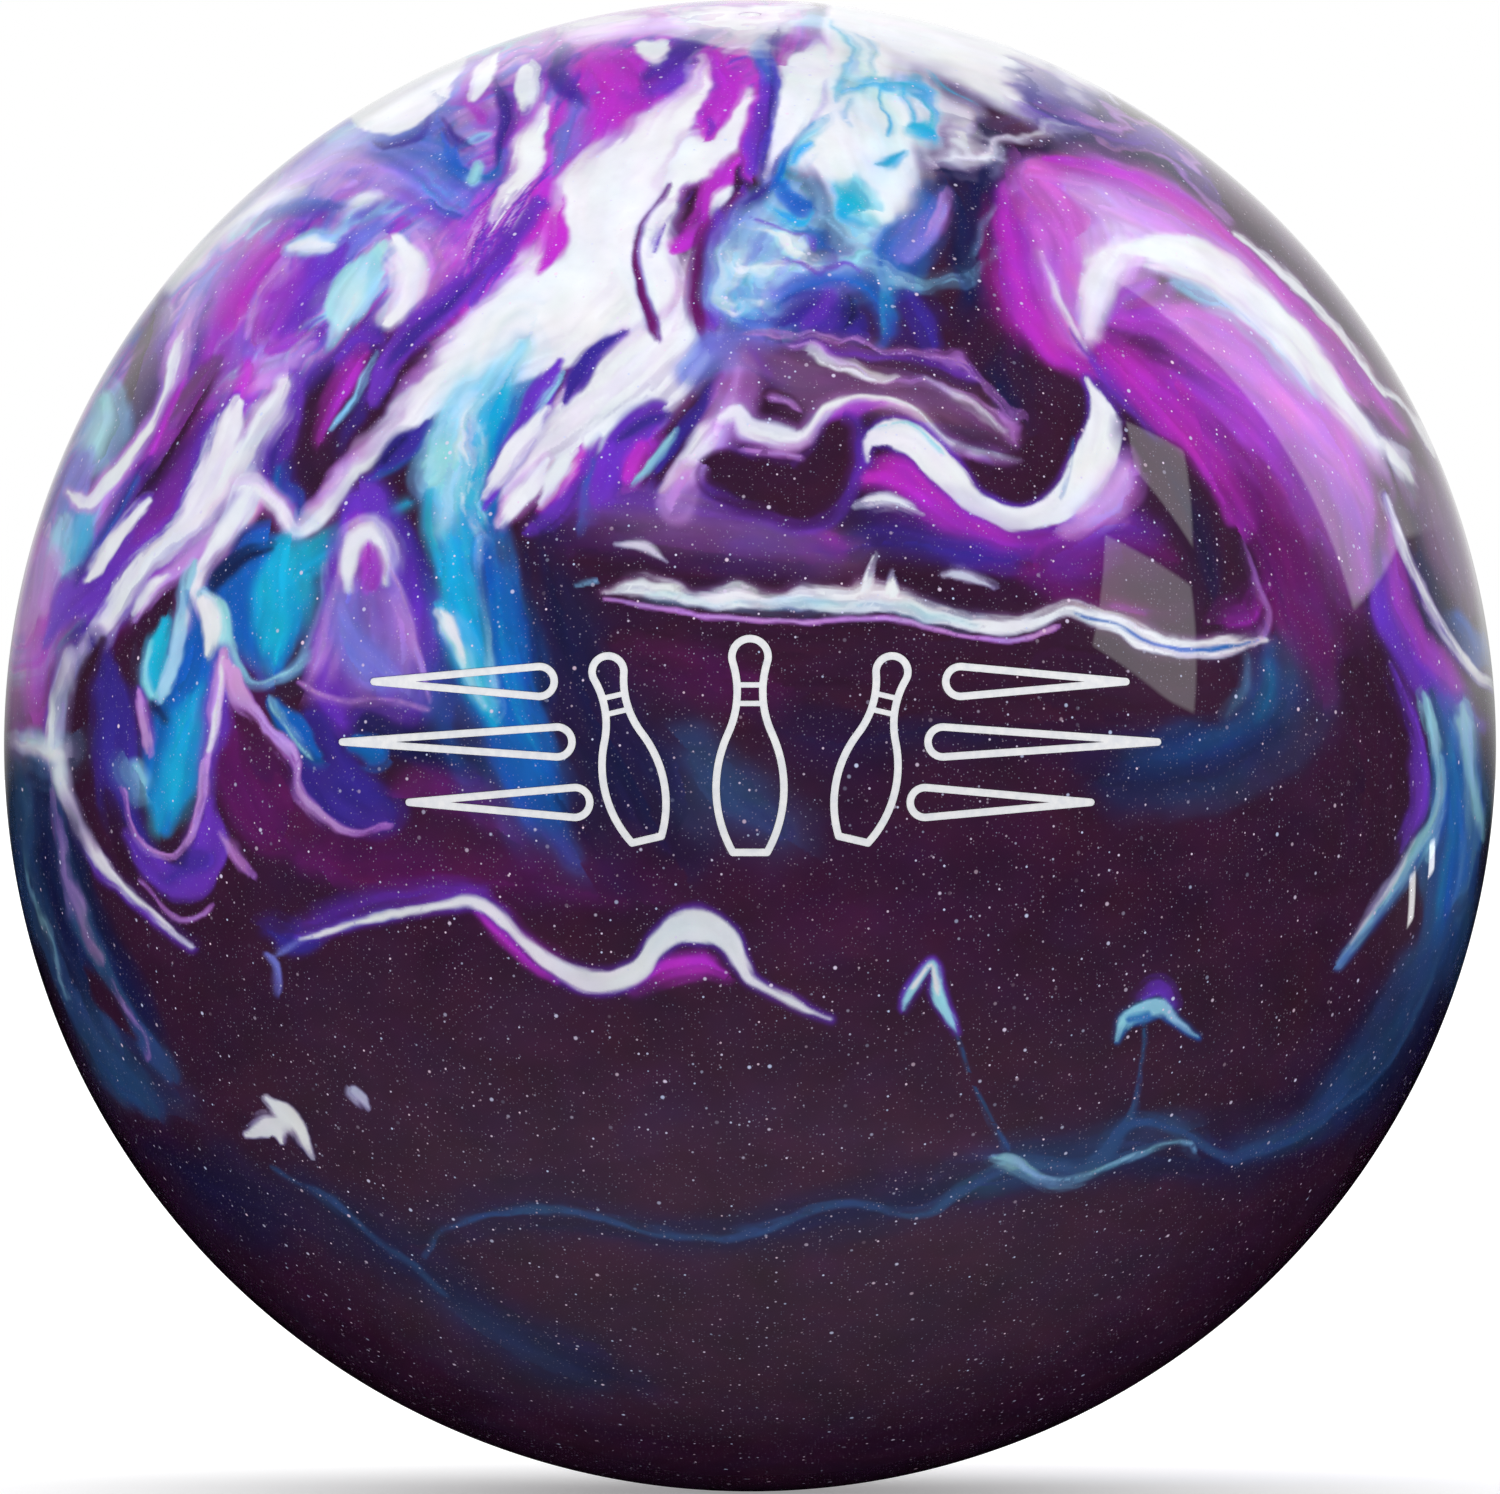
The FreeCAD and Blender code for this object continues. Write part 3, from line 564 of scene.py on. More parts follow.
    lay("lilac", (429, 302, 13), (476, 342, 35), (503, 356, 21), soft=13)
    lay("white", (155, 380, 5), (157, 403, 13), (181, 415, 17), (212, 408, 19), (244, 385, 17),
        (275, 351, 16), (315, 318, 15), (362, 298, 15), (402, 308, 19), (440, 340, 27), (466, 383, 32),
        (475, 420, 27), (469, 458, 15), (454, 489, 3), soft=3, streak=0.08, halo=("violet", 9))
    lay("lilac", (448, 308, 11), (491, 348, 19), (512, 385, 11), soft=17, op=0.75)
    lay("sky", (161, 420, 2), (208, 426, 3), (255, 393, 2), soft=3, op=0.8)
    lay("blue", (416, 326, 2), (432, 369, 2), (434, 410, 2), soft=3, op=0.5)
    lay("plum", (507, 423, 13), (560, 363, 21), (603, 289, 24), (623, 208, 27), (603, 168, 19), soft=16)
    lay("navy", (556, 383, 8), (597, 302, 13), (623, 208, 11), soft=16, op=0.6)
    lay("wine", (389, 222, 16), (469, 198, 21), (563, 179, 13), soft=27, op=0.6)


def left_side():
    """The streams down the left edge, and the cyan and violet cells beside them."""
    lay("indigo", (-885, 141, 27), (-858, 34, 38), (-845, -73, 35), (-804, -153, 27), soft=19)
    lay("blue", (-684, 195, 40), (-737, 115, 40), (-761, 7, 38), (-780, -86, 29), soft=16)
    lay("plum", (-871, 141, 11), (-894, 61, 16), (-902, -26, 15), (-885, -107, 12), (-851, -153, 8), soft=8)
    lay("indigo", (-855, 103, 13), (-869, 17, 19), (-855, -73, 13), soft=12)
    lay("cyan", (-783, 168, 11), (-796, 128, 16), (-799, 80, 17), (-783, 53, 12), soft=8)
    lay("sky", (-804, 141, 4), (-810, 104, 7), (-802, 69, 7), (-786, 56, 5), soft=7, op=0.7)
    lay("blue", (-740, 141, 24), (-759, 48, 29), (-769, -33, 32), (-783, -113, 19), soft=9)
    lay("cyan", (-751, 61, 9), (-759, -6, 16), (-769, -73, 13), soft=19, op=0.65)
    lay("sky", (-820, -36, 13), (-810, -53, 12), soft=12, op=0.75)
    lay("lilac", (-818, 69, 5), (-808, 17, 7), (-802, -13, 3), soft=4, halo=("violet", 9))
    lay("navy", (-794, 54, 9), (-780, 32, 7), soft=7, op=0.8)
    lay("blue", (-649, 254, 29), (-654, 195, 59), (-649, 139, 43), (-641, 99, 13), soft=12,
        halo=("indigo", 11))
    lay("cyan", (-614, 259, 19), (-619, 203, 43), (-627, 147, 35), (-635, 109, 12), soft=20)
    lay("navy", (-641, 267, 5), (-676, 254, 11), (-708, 227, 12), (-721, 200, 5), soft=9, op=0.85)
    lay("cyan", (-614, 222, 13), (-563, 258, 20), (-512, 294, 17), (-458, 324, 9), soft=16, op=0.9)
    lay("sky", (-568, 241, 2), (-574, 182, 3), (-595, 128, 3), (-627, 88, 3), soft=7, op=0.6)
    lay("sky", (-732, 203, 19), (-716, 182, 16), (-705, 141, 12), (-684, 104, 5), (-660, 82, 4),
        (-617, 99, 3), (-574, 141, 2))
    lay("white", (-729, 190, 13), (-723, 160, 16), (-729, 128, 7), soft=4)
    lay("sky", (-743, 249, 7), (-759, 182, 5), (-772, 115, 7), (-788, 58, 8), soft=4)
    lay("blue", (-751, 208, 5), (-743, 128, 7), (-761, 61, 8), soft=7, op=0.8)
    lay("violet", (-517, 318, 27), (-507, 249, 51), (-501, 168, 75), (-501, 93, 83), soft=16,
        halo=("indigo", 19))
    lay("indigo", (-461, 302, 13), (-432, 195, 13), (-410, 101, 13), (-399, 45, 13), soft=16, op=0.7)
    lay("mauve", (-509, 208, 27), (-507, 141, 46), (-507, 93, 46), soft=32, op=0.6)
    lay("periwinkle", (-534, 200, 19), (-544, 141, 27), (-515, 99, 29), soft=29, op=0.65)
    lay("lilac", (-483, 195, 13), (-466, 136, 19), (-464, 88, 13), soft=24, op=0.6)
    lay("lilac", (-536, 254, 7), (-555, 187, 11), (-579, 120, 12), (-595, 82, 7), soft=13, op=0.7,
        streak=0.3)
    lay("lilac", (-491, 275, 4), (-472, 211, 4), (-450, 147, 3), (-432, 93, 3), (-424, 64, 2), op=0.75)
    lay("magenta", (-517, 292, 17), (-512, 265, 16), soft=12, op=0.7)
    lay("white", (-536, 203, 5), (-536, 241, 12), (-525, 278, 16), (-504, 289, 15), (-488, 265, 11),
        (-488, 216, 7), soft=8, op=0.85)
    lay("orchid", (-501, 257, 9), (-500, 233, 11), (-507, 211, 7), soft=9, op=0.85)
    lay("periwinkle", (-550, 179, 13), (-534, 139, 27), (-493, 104, 29), (-464, 77, 13), soft=24, op=0.6)
    lay("cyan", (-740, 74, 11), (-756, 13, 19), (-775, -52, 20), (-786, -111, 12), soft=19, op=0.6)
    lay("lilac", (-607, 82, 3), (-579, 65, 4), (-536, 57, 3), (-480, 61, 3), (-426, 53, 2), op=0.7)
    lay("wine", (-694, 74, 19), (-684, -19, 38), (-654, -93, 46), (-603, -147, 35), soft=32, op=0.8)
    lay("violet", (-702, 74, 9), (-710, 7, 13), soft=11, op=0.8)
    lay("indigo", (-592, 21, 24), (-574, -26, 38), (-536, -73, 40), (-501, -93, 27), soft=16, op=0.9)
    lay("navy", (-509, 21, 35), (-442, 1, 35), (-375, -33, 32), soft=21, op=0.85)
    lay("blue", (-634, 57, 11), (-606, 14, 16), (-579, -14, 12), soft=7, halo=("navy", 8))
    lay("sky", (-641, 61, 3), (-614, 10, 3), (-587, -19, 4), soft=3, op=0.7)
    lay("blue", (-531, 1, 11), (-507, -9, 19), soft=7, op=0.9)
    lay("lilac", (-706, 128, 9), (-710, 93, 7), (-718, 45, 5), (-724, -13, 3), (-733, -73, 3),
        (-751, -135, 2), halo=("violet", 11))
    lay("white", (-706, 121, 5), (-710, 88, 3), (-718, 41, 2), (-724, -6, 2), soft=3, op=0.8)
    lay("lilac", (-702, 117, 8), (-684, 74, 11), (-660, 45, 7), (-634, 17, 4), (-611, -17, 4),
        (-601, -62, 5), (-560, -103, 4), (-523, -119, 3), (-489, -108, 2), soft=4, rag=1.6)
    lay("magenta", (-442, -73, 11), (-389, -81, 13), (-346, -108, 11), soft=32, op=0.32)
    lay("violet", (-727, -73, 11), (-721, -133, 23), (-744, -191, 21), (-798, -170, 19), (-839, -120, 12),
        soft=7)
    lay("indigo", (-737, -153, 19), (-777, -180, 13), soft=13, op=0.7)
    lay("plum", (-865, -73, 13), (-847, -140, 11), (-804, -194, 7), soft=9, op=0.8)
    lay("lilac", (-840, -60, 2), (-828, -108, 2), (-802, -143, 2), (-771, -149, 2), (-753, -127, 2),
        (-740, -73, 2), (-729, -19, 2), soft=3, op=0.85)
    lay("lilac", (-818, -180, 2), (-771, -229, 3), (-737, -231, 3), (-717, -214, 2), soft=3, op=0.7)
    lay("lilac", (-713, -111, 3), (-697, -143, 8), (-673, -171, 3), op=0.7, rag=2)
    lay("navy", (-965, -19, 46), (-952, -140, 54), (-905, -261, 51), (-845, -355, 40), (-791, -435, 24),
        soft=21, op=0.95)
    lay("denim", (-987, -40, 11), (-979, -140, 16), (-949, -247, 16), (-905, -355, 16), (-855, -435, 19),
        (-804, -489, 11), soft=12, streak=0.4, grain=(161, 11))
    lay("denim", (-941, -60, 8), (-930, -140, 11), (-903, -234, 17), (-866, -304, 17), (-818, -387, 13),
        (-777, -448, 8), soft=12, streak=0.3, grain=(161, 11))
    lay("navy", (-952, -140, 7), (-922, -247, 8), (-882, -341, 7), soft=9, op=0.8)
    lay("denim", (-906, -368, 16), (-850, -448, 35), (-784, -489, 24), soft=35, op=0.6)
    lay("sky", (-965, 1, 16), (-945, -9, 19), (-928, 1, 13), soft=16, op=0.6)
    lay("white", (-981, 5, 9), (-954, -1, 12), (-928, -9, 9), soft=11, op=0.65)
    lay("sky", (-981, -53, 2), (-971, -153, 3), (-945, -247, 3), (-912, -341, 2), op=0.5, rag=2)
    lay("lilac", (-936, -60, 1), (-925, -140, 3), (-895, -241, 3), (-871, -288, 2), soft=7, op=0.45, rag=2)
    lay("plum", (-890, -301, 5), (-861, -341, 13), (-824, -395, 4))
    lay("lilac", (-855, -312, 1), (-834, -344, 2), (-815, -381, 2), (-802, -422, 1), soft=4, op=0.55, rag=2)
    lay("navy", (-804, -542, 40), (-684, -609, 46), (-563, -663, 35), soft=46, op=0.7)


def middle():
    """The blue stream that ends behind the emblem, the long white streak above it and the right edge."""
    lay("navy", (-282, 275, 35), (-247, 168, 48), (-212, 61, 59), (-147, -60, 67), (-107, -140, 40),
        soft=46, op=0.85)
    lay("blue", (-359, 269, 32), (-340, 141, 38), (-316, 34, 38), (-276, -68, 38), (-231, -151, 21),
        soft=29)
    lay("navy", (-255, -73, 27), (-201, -140, 35), (-174, -194, 21), soft=40, op=0.7)
    lay("cyan", (-399, 275, 29), (-394, 195, 27), (-370, 115, 21), (-338, 32, 12), soft=19, op=0.9)
    lay("blue", (-328, 302, 8), (-314, 195, 12), (-295, 88, 12), (-260, -19, 9), soft=11, op=0.7,
        streak=0.3, grain=(161, 9))
    lay("cyan", (-346, 289, 4), (-330, 182, 7), (-314, 74, 7), (-287, -6, 4), soft=9, op=0.5, streak=0.4,
        grain=(161, 8))
    lay("navy", (-306, 275, 4), (-290, 168, 5), (-271, 61, 5), soft=9, op=0.6)
    lay("denim", (-80, -19, 27), (-35, -73, 40), (40, -121, 27), soft=48, op=0.7)
    lay("navy", (13, 34, 27), (121, 7, 46), (241, 21, 40), (389, 1, 32), soft=48, op=0.6)
    lay("sky", (-370, 293, 3), (-362, 222, 3), (-346, 141, 4), (-332, 74, 3), soft=7, op=0.6, streak=0.3)
    lay("sky", (-420, 179, 8), (-408, 163, 12), (-389, 131, 11), (-370, 96, 8), (-349, 53, 5), soft=8,
        op=0.85, halo=("cyan", 12))
    lay("white", (-418, 179, 7), (-408, 166, 9), (-391, 136, 5), (-378, 109, 3))
    lay("mauve", (-214, 313, 21), (-121, 302, 32), (-17, 284, 32), (68, 275, 29), (142, 269, 21), soft=35,
        op=0.9)
    lay("plum", (-255, 259, 13), (-174, 241, 16), (-67, 233, 13), (67, 222, 11), soft=21, op=0.7)
    lay("violet", (-255, 322, 16), (-147, 318, 21), (-40, 302, 21), (67, 289, 19), soft=38, op=0.5)
    lay("indigo", (107, 262, 16), (174, 275, 29), (255, 265, 35), (349, 246, 29), soft=32)
    lay("plum", (174, 235, 11), (241, 215, 16), (335, 202, 16), (389, 188, 11), soft=13, op=0.7)
    lay("magenta", (107, 282, 13), (123, 269, 11), soft=16, op=0.35)
    lay("lilac", (-80, 356, 21), (-97, 322, 19), soft=16, op=0.8)
    lay("plum", (-38, 364, 32), (7, 342, 46), (75, 334, 43), (110, 375, 35), (118, 415, 21), soft=9,
        halo=("violet", 13))
    lay("white", (-182, 271, 3), (-147, 266, 7), (-111, 247, 1), soft=4, op=0.7)
    lay("sky", (-235, 218, 2), (-205, 226, 3), soft=3, op=0.7)
    lay("white", (141, 325, 2), (181, 330, 8), (231, 312, 1), soft=4, op=0.85)
    lay("white", (261, 227, 2), (284, 230, 7), (330, 211, 1), soft=4, op=0.7)
    lay("plum", (-174, 141, 35), (-13, 115, 48), (201, 101, 54), (416, 88, 54), (603, 74, 48), soft=13)
    lay("wine", (-147, 128, 27), (13, 88, 32), soft=35, op=0.5)
    lay("denim", (705, 128, 11), (702, 74, 21), (670, 26, 24), (603, -9, 24), (523, -27, 16), soft=35,
        op=0.85)
    lay("blue", (694, 133, 5), (697, 82, 12), (673, 37, 17), (617, 2, 19), (536, -19, 13), soft=29, op=0.5)
    lay("cyan", (697, 109, 5), (700, 74, 8), (684, 42, 7), soft=21, op=0.4)
    lay("navy", (483, -33, 35), (603, -33, 46), (697, 21, 32), soft=48, op=0.65)
    lay("plum", (416, 85, 40), (610, 77, 44), soft=9)
    lay("magenta", (646, 166, 8), (676, 170, 12), (689, 192, 5), soft=13, op=0.5)
    lay("magenta", (483, 187, 11), (515, 178, 11), soft=13, op=0.42)
    lay("lilac", (-201, 199, 2), (-129, 183, 3), (-39, 170, 3), (68, 164, 3), (154, 168, 3), (217, 166, 3),
        (282, 147, 3), (362, 139, 3), (416, 155, 3), soft=3, op=0.9)
    lay("white", (-205, 208, 3), (-168, 212, 12), (-127, 206, 13), (-80, 191, 8), (-25, 195, 16),
        (27, 188, 9), (67, 194, 16), (134, 194, 19), (161, 198, 21), (196, 191, 16), (241, 178, 11),
        (288, 166, 11), (349, 155, 12), (389, 160, 9), (433, 179, 8), (485, 162, 12), (540, 139, 17),
        (609, 128, 15), (660, 136, 11), (697, 141, 4), soft=4, streak=0.3, grain=(67, 5),
        halo=("mauve", 11), rag=1.8)
    lay("white", (155, 208, 9), (162, 235, 4), (168, 254, 1), soft=3)
    lay("white", (192, 208, 8), (196, 231, 1), soft=3)
    lay("blue", (436, 176, 2), (485, 163, 2), (540, 136, 3), (609, 128, 4), (660, 136, 3), (684, 141, 1),
        soft=3, op=0.9)
    lay("sky", (-147, 203, 5), (-67, 190, 4), (13, 187, 7), (121, 187, 9), (201, 184, 5), (308, 160, 4),
        soft=8, op=0.5, rag=2)
    lay("lilac", (686, 140, 4), (698, 155, 3), (700, 179, 2), (681, 222, 1), (660, 274, 1), soft=4, op=0.5)
    lay("sky", (670, 121, 4), (665, 74, 3), (638, 40, 2), soft=8, op=0.2)
    lay("violet", (850, 249, 13), (861, 182, 27), (895, 121, 29), (941, 61, 27), (979, 27, 19), soft=16)
    lay("orchid", (861, 275, 8), (874, 208, 16), (906, 141, 16), (946, 82, 12), soft=16, op=0.65)
    lay("mauve", (914, 389, 19), (952, 275, 32), (972, 182, 27), soft=16)
    lay("navy", (878, 342, 11), (898, 249, 19), (932, 168, 24), (972, 121, 24), soft=13, op=0.9)
    lay("blue", (945, 168, 13), (981, 128, 19), soft=13, op=0.8)
    lay("plum", (853, 396, 4), (869, 329, 11), (887, 262, 9), soft=7, op=0.9)
    lay("white", (849, 412, 5), (869, 385, 8), (883, 359, 5), (891, 342, 1), soft=4)
    lay("white", (855, 334, 2), (870, 290, 3), (891, 231, 3), (922, 168, 3), (957, 115, 4), (1005, 74, 4),
        soft=4, halo=("violet", 8), rag=0.4)
    lay("white", (654, 682, 2), (705, 647, 5), (757, 592, 5), (799, 541, 3), (842, 485, 2), (871, 458, 2),
        (903, 419, 6), (920, 388, 3), soft=3, halo=("mauve", 7))
    lay("plum", (804, 101, 40), (851, 7, 48), (861, -86, 43), (831, -167, 35), soft=19)
    lay("violet", (863, 108, 4), (890, 41, 8), (902, -26, 7), (898, -89, 7), (877, -140, 5), soft=8)
    lay("denim", (920, 74, 13), (946, 7, 35), (954, -73, 43), (938, -180, 38), (912, -274, 27),
        (871, -368, 16), soft=12)
    lay("blue", (936, 61, 8), (957, -19, 16), (960, -113, 16), (938, -207, 13), (909, -301, 8), soft=12,
        streak=0.4, grain=(214, 11))
    lay("cyan", (941, 34, 5), (946, -46, 8), (941, -140, 7), (922, -234, 4), soft=9, op=0.6, streak=0.4,
        grain=(214, 11))
    lay("navy", (973, -153, 7), (954, -261, 11), (912, -355, 8), soft=11, op=0.8)
    lay("sky", (908, 74, 7), (920, 21, 6), (925, -60, 4), (914, -153, 3), soft=4)
    lay("sky", (954, 54, 11), (962, 7, 12), (973, -60, 7), (979, -127, 4), soft=8, op=0.8)
    lay("blue", (936, -33, 11), (949, -140, 16), (936, -247, 16), (903, -321, 11), soft=19, op=0.55)
    lay("sky", (965, -33, 4), (968, -127, 5), (954, -234, 4), soft=9, op=0.5, streak=0.3, grain=(161, 8))
    lay("sky", (925, -19, 2), (922, -86, 4), (893, -140, 7), (861, -194, 5), (820, -250, 3), (786, -293, 1),
        op=0.75, halo=("blue", 11), rag=0.5)
    lay("white", (893, -124, 1), (871, -167, 3), (834, -223, 2), (804, -266, 1), soft=4, op=0.6, rag=0.5)


def lower_half():
    """The wave under the emblem, and the thin veins in the dark below it, with a faint painted reflection
    across them.
    """
    lay("wine", (-576, -153, 29), (-442, -170, 35), (-308, -186, 29), (-174, -207, 19), soft=46, op=0.6)
    lay("wine", (-80, -261, 27), (94, -214, 80), (282, -247, 54), soft=94, op=0.25)
    # painted reflection: a faint, wide mauve lightening across the lower half
    lay("mauve", (-442, -596, 54), (-67, -542, 80), (282, -596, 80), (483, -649, 40), soft=121, op=0.16)
    lay("magenta", (-367, -223, 5), (-335, -255, 11), (-300, -285, 12), (-257, -312, 7), soft=12, op=0.85)
    lay("magenta", (-150, -317, 5), (-110, -298, 16), (-67, -293, 17), (-38, -306, 8), soft=12, op=0.85)
    lay("violet", (-603, -239, 11), (-536, -218, 13), (-442, -203, 13), (-359, -196, 11), soft=20, op=0.7)
    lay("indigo", (-646, -245, 12), (-601, -261, 17), (-563, -241, 8), soft=13)
    lay("periwinkle", (-646, -279, 4), (-633, -293, 5), (-627, -334, 1), soft=4, op=0.75)
    lay("periwinkle", (-633, -279, 4), (-598, -258, 4), (-542, -242, 4), (-469, -226, 4), op=0.85)
    lay("white", (-603, -258, 2), (-542, -241, 3), (-507, -234, 4), (-460, -225, 4), (-408, -215, 5),
        (-370, -211, 7), (-343, -226, 7), (-314, -255, 7), (-276, -284, 11), (-231, -306, 15),
        (-185, -313, 15), (-147, -298, 12), (-123, -269, 12), (-99, -247, 17), (-67, -243, 23),
        (-38, -258, 17), (-16, -293, 9), (3, -320, 6), (58, -345, 5), (107, -365, 2), soft=4, op=0.9,
        halo=("violet", 9))
    lay("white", (-643, -470, 7), (-625, -486, 13), (-605, -505, 12), (-592, -529, 6), (-580, -548, 1),
        soft=3, halo=("navy", 7))
    lay("white", (-673, -518, 5), (-654, -510, 12), (-633, -505, 15), (-622, -526, 5), soft=3)
    lay("white", (-536, -463, 7), (-523, -474, 8), (-513, -487, 1), soft=3, op=0.7)
    lay("navy", (-603, -582, 19), (-509, -663, 27), (-416, -730, 32), (-295, -810, 40), (-147, -851, 40),
        soft=38, op=0.85)
    lay("navy", (-416, -663, 16), (-255, -643, 19), (-67, -663, 19), (94, -636, 24), (282, -596, 24),
        (496, -556, 27), (684, -542, 32), (818, -448, 40), (912, -314, 35), soft=35, op=0.8)
    lay("denim", (-429, -743, 21), (-308, -824, 27), (-201, -864, 24), soft=35, op=0.35)
    lay("denim", (282, -596, 13), (389, -576, 21), (469, -556, 19), (576, -522, 19), soft=21, op=0.7)
    lay("denim", (657, -542, 13), (777, -489, 24), (871, -368, 27), (925, -247, 24), soft=27, op=0.6)
    lay("denim", (-639, -562, 2), (-597, -589, 3), (-556, -613, 4), (-517, -652, 3), (-454, -691, 3),
        (-408, -735, 2), op=0.8)
    lay("denim", (-432, -683, 2), (-416, -644, 4), (-332, -628, 4), (-248, -623, 3), (-172, -639, 4),
        (-95, -659, 3), (0, -658, 3), (97, -625, 4), (161, -623, 4), (237, -628, 4), (320, -577, 7),
        (385, -564, 8), (461, -562, 7), (513, -506, 8), (578, -513, 7), (629, -548, 5), (673, -544, 4),
        (769, -498, 4), (853, -422, 4), (898, -332, 4), (962, -210, 4), op=0.9)
    lay("sky", (322, -556, 2), (346, -564, 7), (398, -584, 4), (442, -578, 3), (509, -553, 2),
        (583, -530, 2), (598, -540, 5), soft=4, op=0.75)
    lay("sky", (205, -352, 2), (220, -325, 5), (247, -294, 3), (255, -338, 7), (276, -387, 2), soft=3,
        halo=("violet", 8))
    lay("white", (220, -325, 3), (245, -296, 2), (253, -334, 3), soft=3)
    lay("denim", (276, -389, 2), (295, -440, 2), (327, -511, 3), (343, -550, 4), soft=3, op=0.9)
    lay("violet", (525, -338, 7), (547, -328, 9), (563, -348, 5), soft=7)
    lay("sky", (487, -389, 2), (499, -365, 7), (523, -355, 12), (550, -352, 11), (571, -371, 5),
        (601, -392, 1), soft=3, halo=("blue", 7))
    lay("blue", (507, -363, 4), (529, -360, 5), soft=4, op=0.8)
    lay("denim", (525, -371, 4), (523, -424, 2), (517, -486, 4), (507, -507, 7), soft=3, op=0.95)
    lay("wine", (-925, -515, 32), (-818, -649, 29), (-684, -784, 21), soft=29, op=0.35)
    lay("denim", (971, -194, 11), (962, -267, 15), (941, -355, 11), soft=16, op=0.8)
    lay("denim", (-989, -26, 11), (-985, -86, 16), (-971, -156, 13), soft=16, op=0.8)
    lay("mauve", (882, 380, 11), (912, 313, 15), (940, 246, 15), (965, 187, 9), soft=11, op=0.6)


for region in (upper_left, top_middle, upper_right, left_side, middle, lower_half):
    region()


def fine_grain(along, across, grain, seed):
    """Places in the noise, drawn out along a stroke."""
    length, width = grain
    return stretched(along / (length * MILLI), across / (width * MILLI), seed * 3.7 + 1.5).astype(np.float32)


def stroke_width(number, path, along, side, width):
    """The half width at each spot, which comes and goes and narrows to the ends, and how it swells."""
    swell = noise(stretched(along * SWELL_PACE[0], side * SWELL_PACE[1], SWELL_PACE[2] * number))
    width = width * (1 + SWELL * swell)
    length = np.linalg.norm(path[1:, :2] - path[:-1, :2], axis=1).sum()
    tip = TAPER * path[:, 2].max()
    if length > LONG * path[:, 2].max():
        width = width * (BLUNT + (1 - BLUNT) * smooth(along / tip) * smooth((length - along) / tip))
    return width, swell


